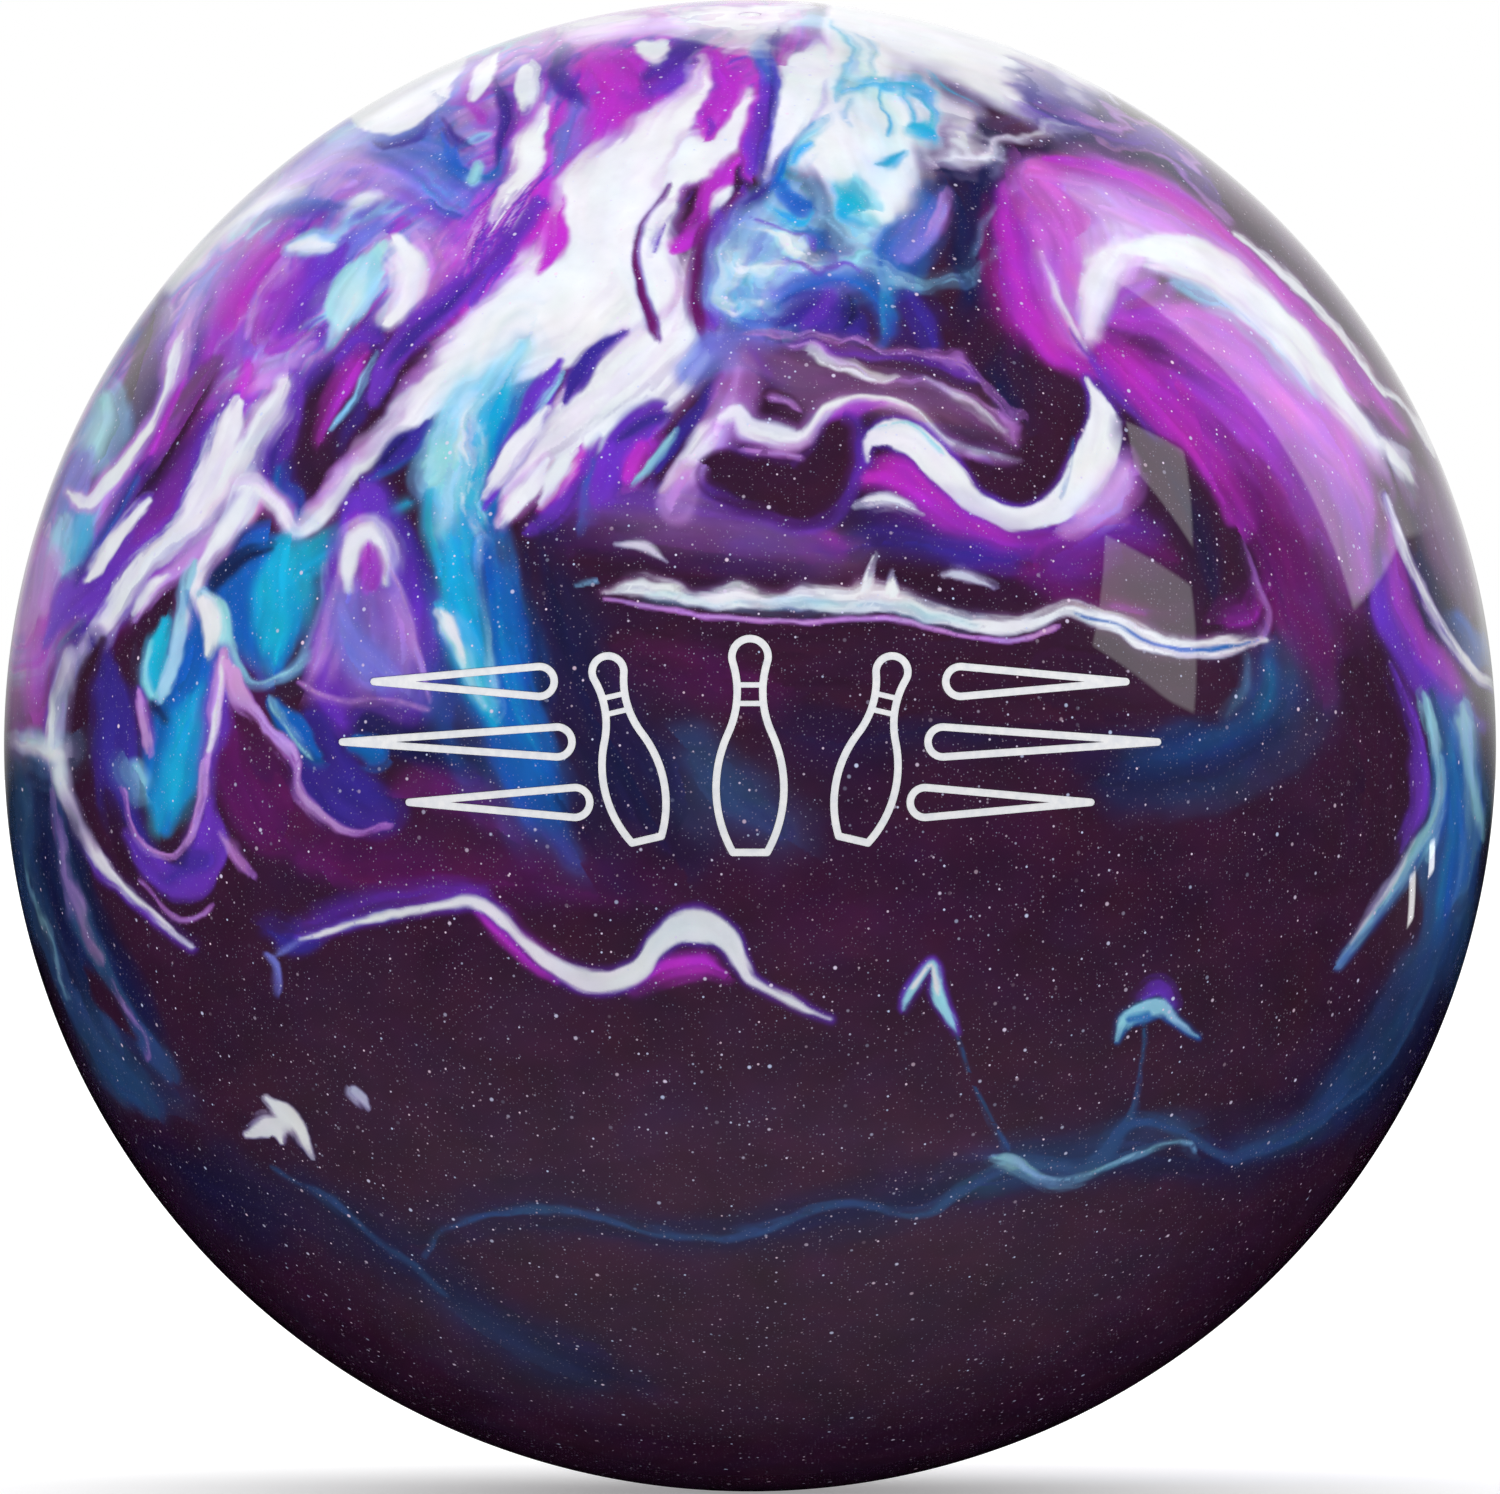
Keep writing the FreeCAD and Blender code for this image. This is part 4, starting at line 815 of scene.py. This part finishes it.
class Canvas:
    """How much of each pigment lies at each of some points of the unit sphere."""

    def __init__(self, points):
        spots = face_coordinates(points).astype(np.float32)
        self.order = np.argsort(spots[:, 0])
        self.points = points[self.order].astype(np.float32)
        self.spots = spots[self.order]
        self.warp = np.zeros_like(self.spots)
        for scale, amount, shift in WARPS:
            for axis in (0, 1):
                self.warp[:, axis] += amount * noise(self.points * scale + shift, axis)
        self.flow = self.points * np.array(LOOSE_PACE, np.float32)
        self.weights = np.zeros((len(points), len(NAMES)), np.float32)
        self.weights[:, 0] = 1

    def near(self, path, reach):
        """Which points lie in the box round a path."""
        low = path[:, :2].min(axis=0) - reach
        high = path[:, :2].max(axis=0) + reach
        first, last = np.searchsorted(self.spots[:, 0], (low[0], high[0]))
        column = self.spots[first:last, 1]
        return first + np.flatnonzero((column > low[1]) & (column < high[1]))

    def lay(self, number, stroke):
        """Lays one stroke, with its halo, over what is there."""
        path = curve_through(stroke["points"])
        soft = stroke["soft"] * MILLI
        halo = HALO_REACH * stroke["halo"][1] * MILLI if stroke["halo"] else 0
        near = self.near(path, (1 + SWELL) * path[:, 2].max() + max(4 * soft, halo) + MARGIN)
        if not len(near):
            return
        dist, side, along, width = measure(self.spots[near] + self.warp[near] * stroke["rag"], path)
        width, swell = stroke_width(number, path, along, side, width)
        lean = math.sin(LEAN_TURN * number)
        blur = soft * (1 + LEAN * np.maximum(side * lean, 0))
        keep = dist < width + np.maximum(EDGE_REACH * blur, halo)
        near, dist, side, along, width, swell, blur = (
            values[keep] for values in (near, dist, side, along, width, swell, blur))
        if stroke["halo"]:
            reach = smooth(1 - (dist - width) / halo) * (0.62 + 0.38 * side * lean) * (0.85 + 0.4 * swell)
            self.mix(near, np.clip(reach, 0, 1) * stroke["op"], stroke["halo"][0], None)
        across = side * dist
        frayed = stretched(along / (FRINGE_SIZE[0] * soft), across / (FRINGE_SIZE[1] * soft), 0.7 * number)
        fringe = FRINGE * blur * (noise(frayed, 2) + 0.5 * noise(frayed * 2.7))
        alpha = smooth(0.5 + (width + fringe - dist) / (2 * blur)) * (width > 0)
        drawn = fine_grain(along, across, stroke["grain"], stroke["seed"])
        if stroke["streak"]:
            thread = noise(drawn) + 0.5 * noise(drawn * 2.1, 1)
            alpha = alpha * (1 - stroke["streak"] * smooth(0.5 + 1.1 * thread))
        alpha = alpha * stroke["op"]
        self.mix(near, alpha, stroke["pigment"], drawn)
        covered = alpha > 0.5
        drawn_out = stretched(along * THREAD_PACE[0], across * THREAD_PACE[1], 1.3 * number)
        self.flow[near[covered]] = drawn_out[covered]

    def mix(self, near, alpha, pigment, drawn):
        """Covers what lies there with a pigment, or with a run of them whose bands follow drawn."""
        mixed = self.weights[near] * (1 - alpha[:, None])
        if isinstance(pigment, str):
            mixed[:, NAMES.index(pigment)] += alpha
        else:
            drawn = drawn + 0.45 * wander(drawn * 0.8 + 7)
            tone = 0.5 + 0.7 * noise(drawn) + 0.35 * noise(drawn * 2.3, 1) + 0.2 * noise(drawn * 6, 2)
            place = np.clip(tone, 0, 1) * (len(pigment) - 1)
            for i, name in enumerate(pigment):
                mixed[:, NAMES.index(name)] += alpha * np.clip(1 - np.abs(place - i), 0, 1)
        self.weights[near] = mixed

    def colour(self):
        """The linear colour at each point once every stroke is laid, with fine threads along the flow."""
        for number, stroke in enumerate(STROKES):
            self.lay(number, stroke)
        weights = self.weights**SHARPNESS
        dark = weights[:, [NAMES.index(name) for name in DARK]].sum(axis=1)
        for pale, veil in VEILS:
            weights[:, NAMES.index(veil)] += VEIL * weights[:, NAMES.index(pale)] * dark
        weights /= weights.sum(axis=1, keepdims=True)
        mixed = weights @ linear([PIGMENTS[name] for name in NAMES])
        flow = self.flow + 0.5 * wander(self.flow * 0.7 + 3)
        thread = THREAD * (noise(flow) + 0.6 * noise(flow * 2.2, 1))[:, None]
        place = self.points * 9 + 0.3 * flow
        drift = DRIFT * (wander(place + 5) + 0.5 * wander(place * 3))
        calm = 1 - CALM * weights[:, NAMES.index("white")][:, None]
        out = np.empty_like(mixed)
        out[self.order] = mixed * (1 + thread * calm) * (1 + drift * calm)
        return out


def linear(srgb):
    """Linear values for sRGB ones from 0 to 255."""
    c = np.asarray(srgb, float) / 255
    return np.where(c <= 0.04045, c / 12.92, ((c + 0.055) / 1.055) ** 2.4)


def folded_over(points):
    """The near side's points as they are, and the far side's where they land once it is folded over at the
    rim, with a twist and slow swirls that grow from the rim on."""
    angle = np.arccos(np.clip(-points[:, 1], -1, 1))
    beyond = np.clip((angle - RIM_ANGLE) / (math.pi - RIM_ANGLE), 0, 1)
    angle = np.where(beyond > 0, RIM_ANGLE * (1 - beyond), angle)
    around = np.arctan2(points[:, 2], points[:, 0]) + FAR_TWIST * smooth(beyond)
    out = np.sin(angle)
    made = np.stack([out * np.cos(around), -np.cos(angle), out * np.sin(around)], axis=1).astype(np.float32)
    swirl = wander(made * 1.6 + 11) + 0.4 * wander(made * 4 + 7)
    made += FAR_SWIRL * smooth(2.5 * beyond)[:, None] * swirl
    return made / np.linalg.norm(made, axis=1, keepdims=True)


# ---------------------------------------------------------------- the cover's mesh
def icosphere(subdivisions):
    """The points of a unit icosphere, and its triangles."""
    bm = bmesh.new()
    bmesh.ops.create_icosphere(bm, subdivisions=subdivisions, radius=1)
    points = np.array([v.co for v in bm.verts], float)
    triangles = np.array([[v.index for v in f.verts] for f in bm.faces], np.int64)
    bm.free()
    return points / np.linalg.norm(points, axis=1, keepdims=True), triangles


def edges_of(triangles, count):
    """Each edge's two ends, and which edges are the sides of each triangle."""
    sides = np.sort(triangles[:, [0, 1, 1, 2, 2, 0]].reshape(-1, 2), axis=1)
    found, which = np.unique(sides[:, 0] * count + sides[:, 1], return_inverse=True)
    return np.stack([found // count, found % count], axis=1), which.reshape(-1, 3)


def divide(triangles, middles):
    """The triangles that are left when each side with a middle, 0 or more, is cut there."""
    cuts = (middles >= 0).sum(axis=1)
    first = np.where(cuts == 1, (middles >= 0).argmax(axis=1), ((middles < 0).argmax(axis=1) + 1) % 3)
    turn = (first[:, None] + np.arange(3)) % 3
    a, b, c = np.take_along_axis(triangles, turn, axis=1).T
    p, q, r = np.take_along_axis(middles, turn, axis=1).T
    patterns = {
        0: ((a, b, c),),
        1: ((a, p, c), (p, b, c)),
        2: ((p, b, q), (a, p, q), (a, q, c)),
        3: ((a, p, r), (p, b, q), (r, q, c), (p, q, r)),
    }
    rows = [np.stack(corners, axis=1)[cuts == n] for n, made in patterns.items() for corners in made]
    return np.vstack(rows)


def refined(points, triangles, colours, choose):
    """The mesh with each edge that choose picks cut in two, and the colour of each new point."""
    ends, sides = edges_of(triangles, len(points))
    length = np.linalg.norm(points[ends[:, 0]] - points[ends[:, 1]], axis=1) * BALL_R
    chosen = choose(ends, length, colours)
    middle = np.full(len(ends), -1)
    middle[chosen] = len(points) + np.arange(chosen.sum())
    added = points[ends[chosen]].sum(axis=1)
    added /= np.linalg.norm(added, axis=1, keepdims=True)
    if colours is not None:
        colours = np.vstack([colours, Canvas(folded_over(added)).colour()])
    return np.vstack([points, added]), divide(triangles, middle[sides]), colours


def contrast(ends, colours):
    """How much the colour, as the eye sees it, changes along each edge."""
    seen = np.sqrt(colours)
    return np.abs(seen[ends[:, 0]] - seen[ends[:, 1]]).max(axis=1)


def distance_to(names, points, reach):
    """How far each point is from the nearest of these CAD nodes, or reach where none is nearer."""
    away = np.full(len(points), reach)
    for name in names:
        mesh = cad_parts[name].data
        tree = BVHTree.FromPolygons([v.co for v in mesh.vertices], [p.vertices for p in mesh.polygons])
        low, high = (np.array(corner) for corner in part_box(name))
        near = np.flatnonzero(((points > low - reach) & (points < high + reach)).all(axis=1))
        for i in near:
            found = tree.find_nearest(Vector(points[i]), reach)
            if found[3] is not None:
                away[i] = min(away[i], found[3])
    return away


def cover_points():
    """The cover's outer points on the unit sphere, its triangles, its colours, and how near the fills are.
    The mesh is finer where the colour changes and round the fills."""
    points, triangles = icosphere(FIRST_CUT)
    points, triangles, _ = refined(points, triangles, None, lambda ends, length, c: length > 0)
    colours = Canvas(folded_over(points)).colour()
    for edge, change in COLOUR_CUTS:
        points, triangles, colours = refined(
            points, triangles, colours,
            lambda ends, length, c: (length > edge) & (contrast(ends, c) > change))
    fills = [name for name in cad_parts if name.endswith("_enamel") or name == "pin_plug"]
    for edge in (FINE_EDGE, FINEST_EDGE, GROOVE_EDGE):
        reach = GROOVE_REACH + edge
        away = distance_to(fills, points * BALL_R, reach)
        points, triangles, colours = refined(
            points, triangles, colours,
            lambda ends, length, c: (length > edge) & (away[ends].min(axis=1) < reach))
    away = distance_to(fills, points * BALL_R, GROOVE_REACH)
    return points, triangles, colours, away


def mesh_of(name, points, triangles):
    """A mesh from points and triangles."""
    mesh = bpy.data.meshes.new(name)
    mesh.vertices.add(len(points))
    mesh.vertices.foreach_set("co", points.astype(np.float32).ravel())
    mesh.loops.add(3 * len(triangles))
    mesh.loops.foreach_set("vertex_index", triangles.astype(np.int32).ravel())
    mesh.polygons.add(len(triangles))
    mesh.polygons.foreach_set("loop_start", np.arange(0, 3 * len(triangles), 3, dtype=np.int32))
    mesh.update(calc_edges=True)
    mesh.validate()
    return mesh


def cover():
    """The cover as a shell, engraved where the enamel and the pin plug lie."""
    points, triangles, colours, away = cover_points()
    sideways = np.sqrt(np.maximum(away**2 - RECESS**2, 0))
    depth = GROOVE_FLOOR * smooth(1 - sideways / GROOVE_LIP)
    outer = points * (BALL_R - depth)[:, None]
    inner, inner_triangles = icosphere(FIRST_CUT - 2)
    mesh = mesh_of("marbled_cover", np.vstack([outer, inner * CORE_R]),
                   np.vstack([triangles, inner_triangles[:, ::-1] + len(outer)]))
    normals = np.zeros(3 * len(mesh.vertices), np.float32)
    mesh.vertex_normals.foreach_get("vector", normals)
    normals = normals.reshape(-1, 3)
    flat = np.flatnonzero(away >= GROOVE_REACH)
    normals[flat] = points[flat]
    mesh.normals_split_custom_set_from_vertices(normals)
    layer = mesh.color_attributes.new("pigment", "FLOAT_COLOR", "POINT")
    rgba = np.ones((len(mesh.vertices), 4), np.float32)
    rgba[:len(colours), :3] = colours
    rgba[len(colours):, :3] = linear(PIGMENTS["plum"])
    layer.data.foreach_set("color", rgba.ravel())
    shell = bpy.data.objects.new("marbled_cover", mesh)
    bpy.context.scene.collection.objects.link(shell)
    shell.data.materials.append(resin_material())
    return shell


# ---------------------------------------------------------------- materials
class Nodes:
    """A material's nodes, made and joined with short calls."""

    def __init__(self, name):
        self.material = bpy.data.materials.new(name)
        self.material.use_nodes = True
        self.tree = self.material.node_tree
        self.shader = self.tree.nodes["Principled BSDF"]
        self.place = self.node("ShaderNodeTexCoord").outputs["Object"]

    def node(self, kind, **settings):
        made = self.tree.nodes.new(kind)
        for key, value in settings.items():
            setattr(made, key, value)
        return made

    def put(self, socket, value):
        if isinstance(value, bpy.types.NodeSocket):
            self.tree.links.new(value, socket)
        else:
            socket.default_value = value

    def noise(self, per_mm, detail=3.0):
        made = self.node("ShaderNodeTexNoise")
        self.put(made.inputs["Vector"], self.place)
        made.inputs["Scale"].default_value = per_mm / MM
        made.inputs["Detail"].default_value = detail
        return made.outputs["Fac"]

    def math(self, operation, *values):
        made = self.node("ShaderNodeMath", operation=operation)
        for socket, value in zip(made.inputs, values):
            self.put(socket, value)
        return made.outputs[0]

    def fit(self, value, low, high, to_low=0.0, to_high=1.0):
        made = self.node("ShaderNodeMapRange")
        for socket, amount in zip(made.inputs, (value, low, high, to_low, to_high)):
            self.put(socket, amount)
        return made.outputs[0]

    def blend(self, share, first, second, kind="MIX"):
        made = self.node("ShaderNodeMix", data_type="RGBA", blend_type=kind)
        colours = [socket for socket in made.inputs if socket.type == "RGBA"]
        for socket, value in zip([made.inputs["Factor"]] + colours, (share, first, second)):
            self.put(socket, value)
        return next(socket for socket in made.outputs if socket.type == "RGBA")

    def bump(self, height, depth_mm, strength=1.0):
        made = self.node("ShaderNodeBump")
        made.inputs["Strength"].default_value = strength
        made.inputs["Distance"].default_value = depth_mm * MM
        self.put(made.inputs["Height"], height)
        self.put(self.shader.inputs["Normal"], made.outputs[0])

    def finish(self, **inputs):
        for key, value in inputs.items():
            self.put(self.shader.inputs[key.replace("_", " ").title().replace("Ior", "IOR")], value)
        return self.material


def srgb(*channels):
    """A colour for a socket from sRGB channels, 0 to 255."""
    return (*linear(channels), 1)


# The glitter's grades: how far apart the flecks lie and their radius, in mm, the share that shows, and its
# glow.
FLECKS = ((0.45, 0.13, 0.6, 0.26), (1.3, 0.21, 0.6, 1.0), (3.0, 0.36, 0.8, 1.0))
FLECK_CORE = 0.55  # the share of its radius inside which a fleck is at its brightest
FLECK_POWER = 1.6  # the higher, the fewer of them are bright


def flecks(n, apart_mm, radius_mm, share, glow):
    """How bright the glitter is, from 0 to 1, for flecks one to a cell, and a random hue for each."""
    cells = n.node("ShaderNodeTexVoronoi", feature="F1", voronoi_dimensions="3D")
    n.put(cells.inputs["Vector"], n.place)
    cells.inputs["Scale"].default_value = 1 / (apart_mm * MM)
    cells.inputs["Randomness"].default_value = 1
    edge = radius_mm / apart_mm
    spot = n.fit(cells.outputs["Distance"], edge, edge * FLECK_CORE)
    chance = n.node("ShaderNodeSeparateColor")
    n.put(chance.inputs[0], cells.outputs["Color"])
    bright = n.math("POWER", n.fit(chance.outputs[0], 1 - share, 1), FLECK_POWER)
    bright = n.math("MULTIPLY", bright, glow)
    return n.math("MULTIPLY", spot, bright), chance.outputs[1]


def resin_material():
    """Polished polyester, faintly mottled, with fine glitter right through it."""
    n = Nodes("swirled_resin")
    pigment = n.node("ShaderNodeAttribute", attribute_name="pigment").outputs["Color"]
    mottle = n.fit(n.noise(0.16, 5.0), 0.3, 0.7, 0.93, 1.05)
    grey = n.node("ShaderNodeCombineColor")
    for socket in grey.inputs:
        n.put(socket, mottle)
    base = n.blend(1.0, pigment, grey.outputs[0], "MULTIPLY")
    for grade in FLECKS:
        bright, hue = flecks(n, *grade)
        base = n.blend(bright, base, n.blend(hue, srgb(200, 216, 255), srgb(255, 222, 246)))
    return n.finish(base_color=base, roughness=n.fit(n.noise(0.05), 0.3, 0.7, 0.28, 0.36),
                    specular_ior_level=0.08, coat_weight=1.0, coat_roughness=0.015, coat_ior=1.5)


def enamel_material():
    """White enamel, a little uneven."""
    n = Nodes("white_enamel")
    tint = n.blend(n.fit(n.noise(0.9), 0.35, 0.65), srgb(236, 238, 244), srgb(250, 250, 252))
    n.bump(n.noise(2.5, 4.0), 0.02, 0.5)
    return n.finish(base_color=tint, roughness=n.fit(n.noise(1.3), 0.3, 0.7, 0.28, 0.42),
                    specular_ior_level=0.5)


def plug_material():
    """Cream resin, polished with the ball."""
    n = Nodes("pin_plug_resin")
    tint = n.blend(n.fit(n.noise(0.35), 0.35, 0.65), srgb(212, 204, 176), srgb(232, 226, 202))
    return n.finish(base_color=tint, roughness=n.fit(n.noise(0.8), 0.3, 0.7, 0.10, 0.20), coat_weight=0.6,
                    coat_roughness=0.03)


def core_material(name, dark, light):
    """Cast filler with fine grit in it and an open, matt skin."""
    n = Nodes(name)
    tint = n.blend(n.fit(n.noise(0.22, 6.0), 0.35, 0.65), dark, light)
    n.bump(n.noise(1.1, 6.0), 0.12, 0.8)
    return n.finish(base_color=tint, roughness=n.fit(n.noise(0.5), 0.3, 0.7, 0.62, 0.85))


def paint_cad_pieces():
    """The CAD nodes that stay take their materials."""
    enamel = enamel_material()
    made = {
        "pin_plug": plug_material(),
        "inner_core": core_material("core_filler", srgb(150, 138, 118), srgb(182, 170, 148)),
        "weight_block": core_material("weight_block_resin", srgb(34, 44, 78), srgb(52, 64, 104)),
    }
    for name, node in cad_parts.items():
        if name == "coverstock":
            continue
        node.data.materials.clear()
        node.data.materials.append(made.get(name, enamel))


# ---------------------------------------------------------------- the studio
def camera():
    """A long lens in front of the emblem, level with the ball's centre."""
    data = bpy.data.cameras.new("camera")
    data.sensor_width = SENSOR
    data.lens = SENSOR / 2 * FRAME_FILL / TAN_RIM
    data.shift_y = SHIFT_Y
    data.clip_end = 100
    made = bpy.data.objects.new("camera", data)
    made.location = (0, -VIEW_DISTANCE * BALL_R, 0)
    made.rotation_euler = (math.radians(90), 0, 0)
    bpy.context.scene.collection.objects.link(made)
    bpy.context.scene.camera = made


def mirrored(x, y):
    """The y and z, on the right-hand wall one unit away, that the polish mirrors at a place on the ball."""
    eye = np.array([0, -VIEW_DISTANCE, 0])
    sight = np.array([x * MILLI * TAN_RIM, 1, y * MILLI * TAN_RIM])
    sight /= np.linalg.norm(sight)
    toward = -eye @ sight
    point = eye + (toward - math.sqrt(toward**2 - eye @ eye + 1)) * sight
    away = sight - 2 * (sight @ point) * point
    return away[1] / away[0], away[2] / away[0]


RIGHT_HALF = (0.0, 0.02)  # where the rays that meet the right-hand wall begin


class World(Nodes):
    """The studio's nodes: what each ray that leaves the ball meets."""

    def __init__(self, name):
        self.world = bpy.data.worlds.new(name)
        self.world.use_nodes = True
        self.world.cycles.sampling_method = "NONE"
        self.tree = self.world.node_tree
        self.tree.nodes.clear()
        split = self.node("ShaderNodeSeparateXYZ")
        self.tree.links.new(self.node("ShaderNodeTexCoord").outputs["Generated"], split.inputs[0])
        self.x, self.y, self.z = split.outputs
        self.right_y = self.math("DIVIDE", self.y, self.math("MAXIMUM", self.x, 0.001))
        self.right_z = self.math("DIVIDE", self.z, self.math("MAXIMUM", self.x, 0.001))

    def all_of(self, *values):
        total = values[0]
        for value in values[1:]:
            total = self.math("MULTIPLY", total, value)
        return total

    def sum_of(self, *values):
        total = values[0]
        for value in values[1:]:
            total = self.math("ADD", total, value)
        return total

    def lamp(self, places, glow):
        """A sharp-edged soft box on the right-hand wall, from where its corners show, clockwise."""
        corners = [mirrored(*place) for place in places]
        masks = [self.fit(self.x, *RIGHT_HALF)]
        for (y0, z0), (y1, z1) in zip(corners, corners[1:] + corners[:1]):
            run = math.hypot(y1 - y0, z1 - z0)
            across = self.math("MULTIPLY", self.math("SUBTRACT", self.right_y, y0), (z0 - z1) / run)
            up = self.math("MULTIPLY", self.math("SUBTRACT", self.right_z, z0), (y1 - y0) / run)
            masks.append(self.fit(self.math("ADD", across, up), LAMP_EDGE, -LAMP_EDGE))
        return self.all_of(*masks, glow)

    def background(self, strength):
        made = self.node("ShaderNodeBackground")
        made.inputs["Color"].default_value = (1, 1, 1, 1)
        self.put(made.inputs["Strength"], strength)
        return made.outputs[0]

    def either(self, share, first, second):
        made = self.node("ShaderNodeMixShader")
        for socket, value in zip(made.inputs, (share, first, second)):
            self.put(socket, value)
        return made.outputs[0]


# Where the lamps' corners show in the polish, in thousandths of the ball's radius from its middle.
UPPER_PANE = ((504, 434), (581, 395), (593, 267), (515, 371))
LOWER_PANE = ((476, 282), (591, 214), (595, 44), (561, 60), (459, 134))
PANE_GLOW = 2.2
UPPER_STRIP = ((911, -131), (918, -126), (917, -166), (909, -178))
LOWER_STRIP = ((884, -176), (892, -168), (889, -232), (881, -244))
STRIP_GLOW = 5.0

# The wall behind the ball, by a ray's direction: from where to where it comes or goes, and how bright it is
# at either end if not 0 and 1.
WALL_NEAR, WALL_FOOT, WALL_TOP = (0.62, 0.88), (-0.02, 0.04), (0.68, 0.5)
WALL_LEFT, WALL_HIGH_LEFT, WALL_RIGHT = (-0.3, 0.0, 0.25, 1.0), (0.12, 0.38), (0.0, 0.35, 1.05, 0.5)

# The large soft box's foot and top on the right-hand wall, each as two places (y, z) on it one unit away.
BOX_FOOT = ((0.375, 0.225), (0.883, 0.317))
BOX_TOP = ((0.316, 1.275), (2.5, 2.5))
BOX_TOP_EDGE = 0.1  # how soft the top's edge is
BOX_NEAR_END, BOX_FADE, BOX_FAR_END = (0.37, 0.39), (0.38, 1.3, 1.9, 0.3), (0.9, 0.7)

# The light on the colours, dimmer from below, and the dim room in front, which glows a little from below.
SOFT_LIGHT = (-1.0, 0.1, 0.3, 1.08)
ROOM_NEAR, ROOM_GLOW = (0.75, -0.1), (-0.95, -0.35, 0.26, 0.03)


def back_wall(w):
    """A pale wall behind the ball, open low on the left."""
    side = w.fit(w.x, *WALL_LEFT)
    side = w.math("MAXIMUM", side, w.fit(w.z, *WALL_HIGH_LEFT))
    height = w.all_of(w.fit(w.z, *WALL_FOOT), w.fit(w.z, *WALL_TOP))
    return w.all_of(w.fit(w.y, *WALL_NEAR), height, side, w.fit(w.x, *WALL_RIGHT))


def above_line(w, start, end):
    """How far above a line on the right-hand wall a ray meets it."""
    line = w.fit(w.right_y, start[0], end[0], start[1], end[1])
    return w.math("SUBTRACT", w.right_z, line)


def large_box(w):
    """A large soft box on the right, which fades to its far end."""
    foot = w.fit(above_line(w, *BOX_FOOT), -LAMP_EDGE, LAMP_EDGE)
    top = w.fit(above_line(w, *BOX_TOP), BOX_TOP_EDGE, -BOX_TOP_EDGE)
    fade = w.all_of(w.fit(w.right_y, *BOX_FADE), w.fit(w.y, *BOX_FAR_END))
    return w.all_of(w.fit(w.right_y, *BOX_NEAR_END), foot, top, w.fit(w.x, *RIGHT_HALF), fade)


def reflected_room(w):
    """What the polish mirrors: the wall behind the ball, the boxes on the right, and a dim room in front."""
    panes = [w.lamp(places, PANE_GLOW) for places in (UPPER_PANE, LOWER_PANE)]
    strips = [w.lamp(places, STRIP_GLOW) for places in (UPPER_STRIP, LOWER_STRIP)]
    dim_room = w.all_of(w.fit(w.y, *ROOM_NEAR), w.fit(w.z, *ROOM_GLOW))
    return w.sum_of(back_wall(w), large_box(w), *panes, *strips, dim_room)


def studio():
    """White behind the ball for the camera, even soft light for its colours, and the room for its polish."""
    w = World("studio")
    rays = w.node("ShaderNodeLightPath").outputs
    soft = w.background(w.fit(w.z, *SOFT_LIGHT))
    polish = w.background(reflected_room(w))
    lit = w.either(rays["Is Glossy Ray"], soft, polish)
    seen = w.either(rays["Is Camera Ray"], lit, w.background(1.0))
    w.tree.links.new(seen, w.node("ShaderNodeOutputWorld").inputs["Surface"])
    bpy.context.scene.world = w.world
    overhead_light()
    floor()
    bpy.context.scene.view_settings.view_transform = "Standard"


def overhead_light():
    """A broad lamp above, a little to the front and left, which the polish doesn't mirror."""
    data = bpy.data.lights.new("overhead", "AREA")
    data.shape = "DISK"
    data.size = 2.0
    data.energy = 6.0
    made = bpy.data.objects.new("overhead", data)
    made.location = (-0.3, -0.6, 2.6)
    made.rotation_euler = made.location.to_track_quat("Z", "Y").to_euler()
    made.visible_glossy = False
    bpy.context.scene.collection.objects.link(made)


FLOOR_HALF = 60.0  # metres, so that its rim stays out of sight


def floor():
    """A pale lit floor, which the ball stands on."""
    mesh = bpy.data.meshes.new("floor")
    corners = [(x * FLOOR_HALF, y * FLOOR_HALF, -BALL_R) for x, y in ((-1, -1), (1, -1), (1, 1), (-1, 1))]
    mesh.from_pydata(corners, [], [(0, 1, 2, 3)])
    made = bpy.data.objects.new("floor", mesh)
    bpy.context.scene.collection.objects.link(made)
    n = Nodes("pale_floor")
    tint = n.blend(n.noise(0.002), srgb(243, 243, 244), srgb(247, 247, 248))
    mesh.materials.append(n.finish(base_color=tint, roughness=0.7, specular_ior_level=0.0,
                                   emission_color=(1, 1, 1, 1), emission_strength=0.3))
    made.visible_glossy = False
    made.visible_diffuse = False


camera()
studio()
shell = cover()
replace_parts(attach(shell, "root"), "coverstock")
paint_cad_pieces()
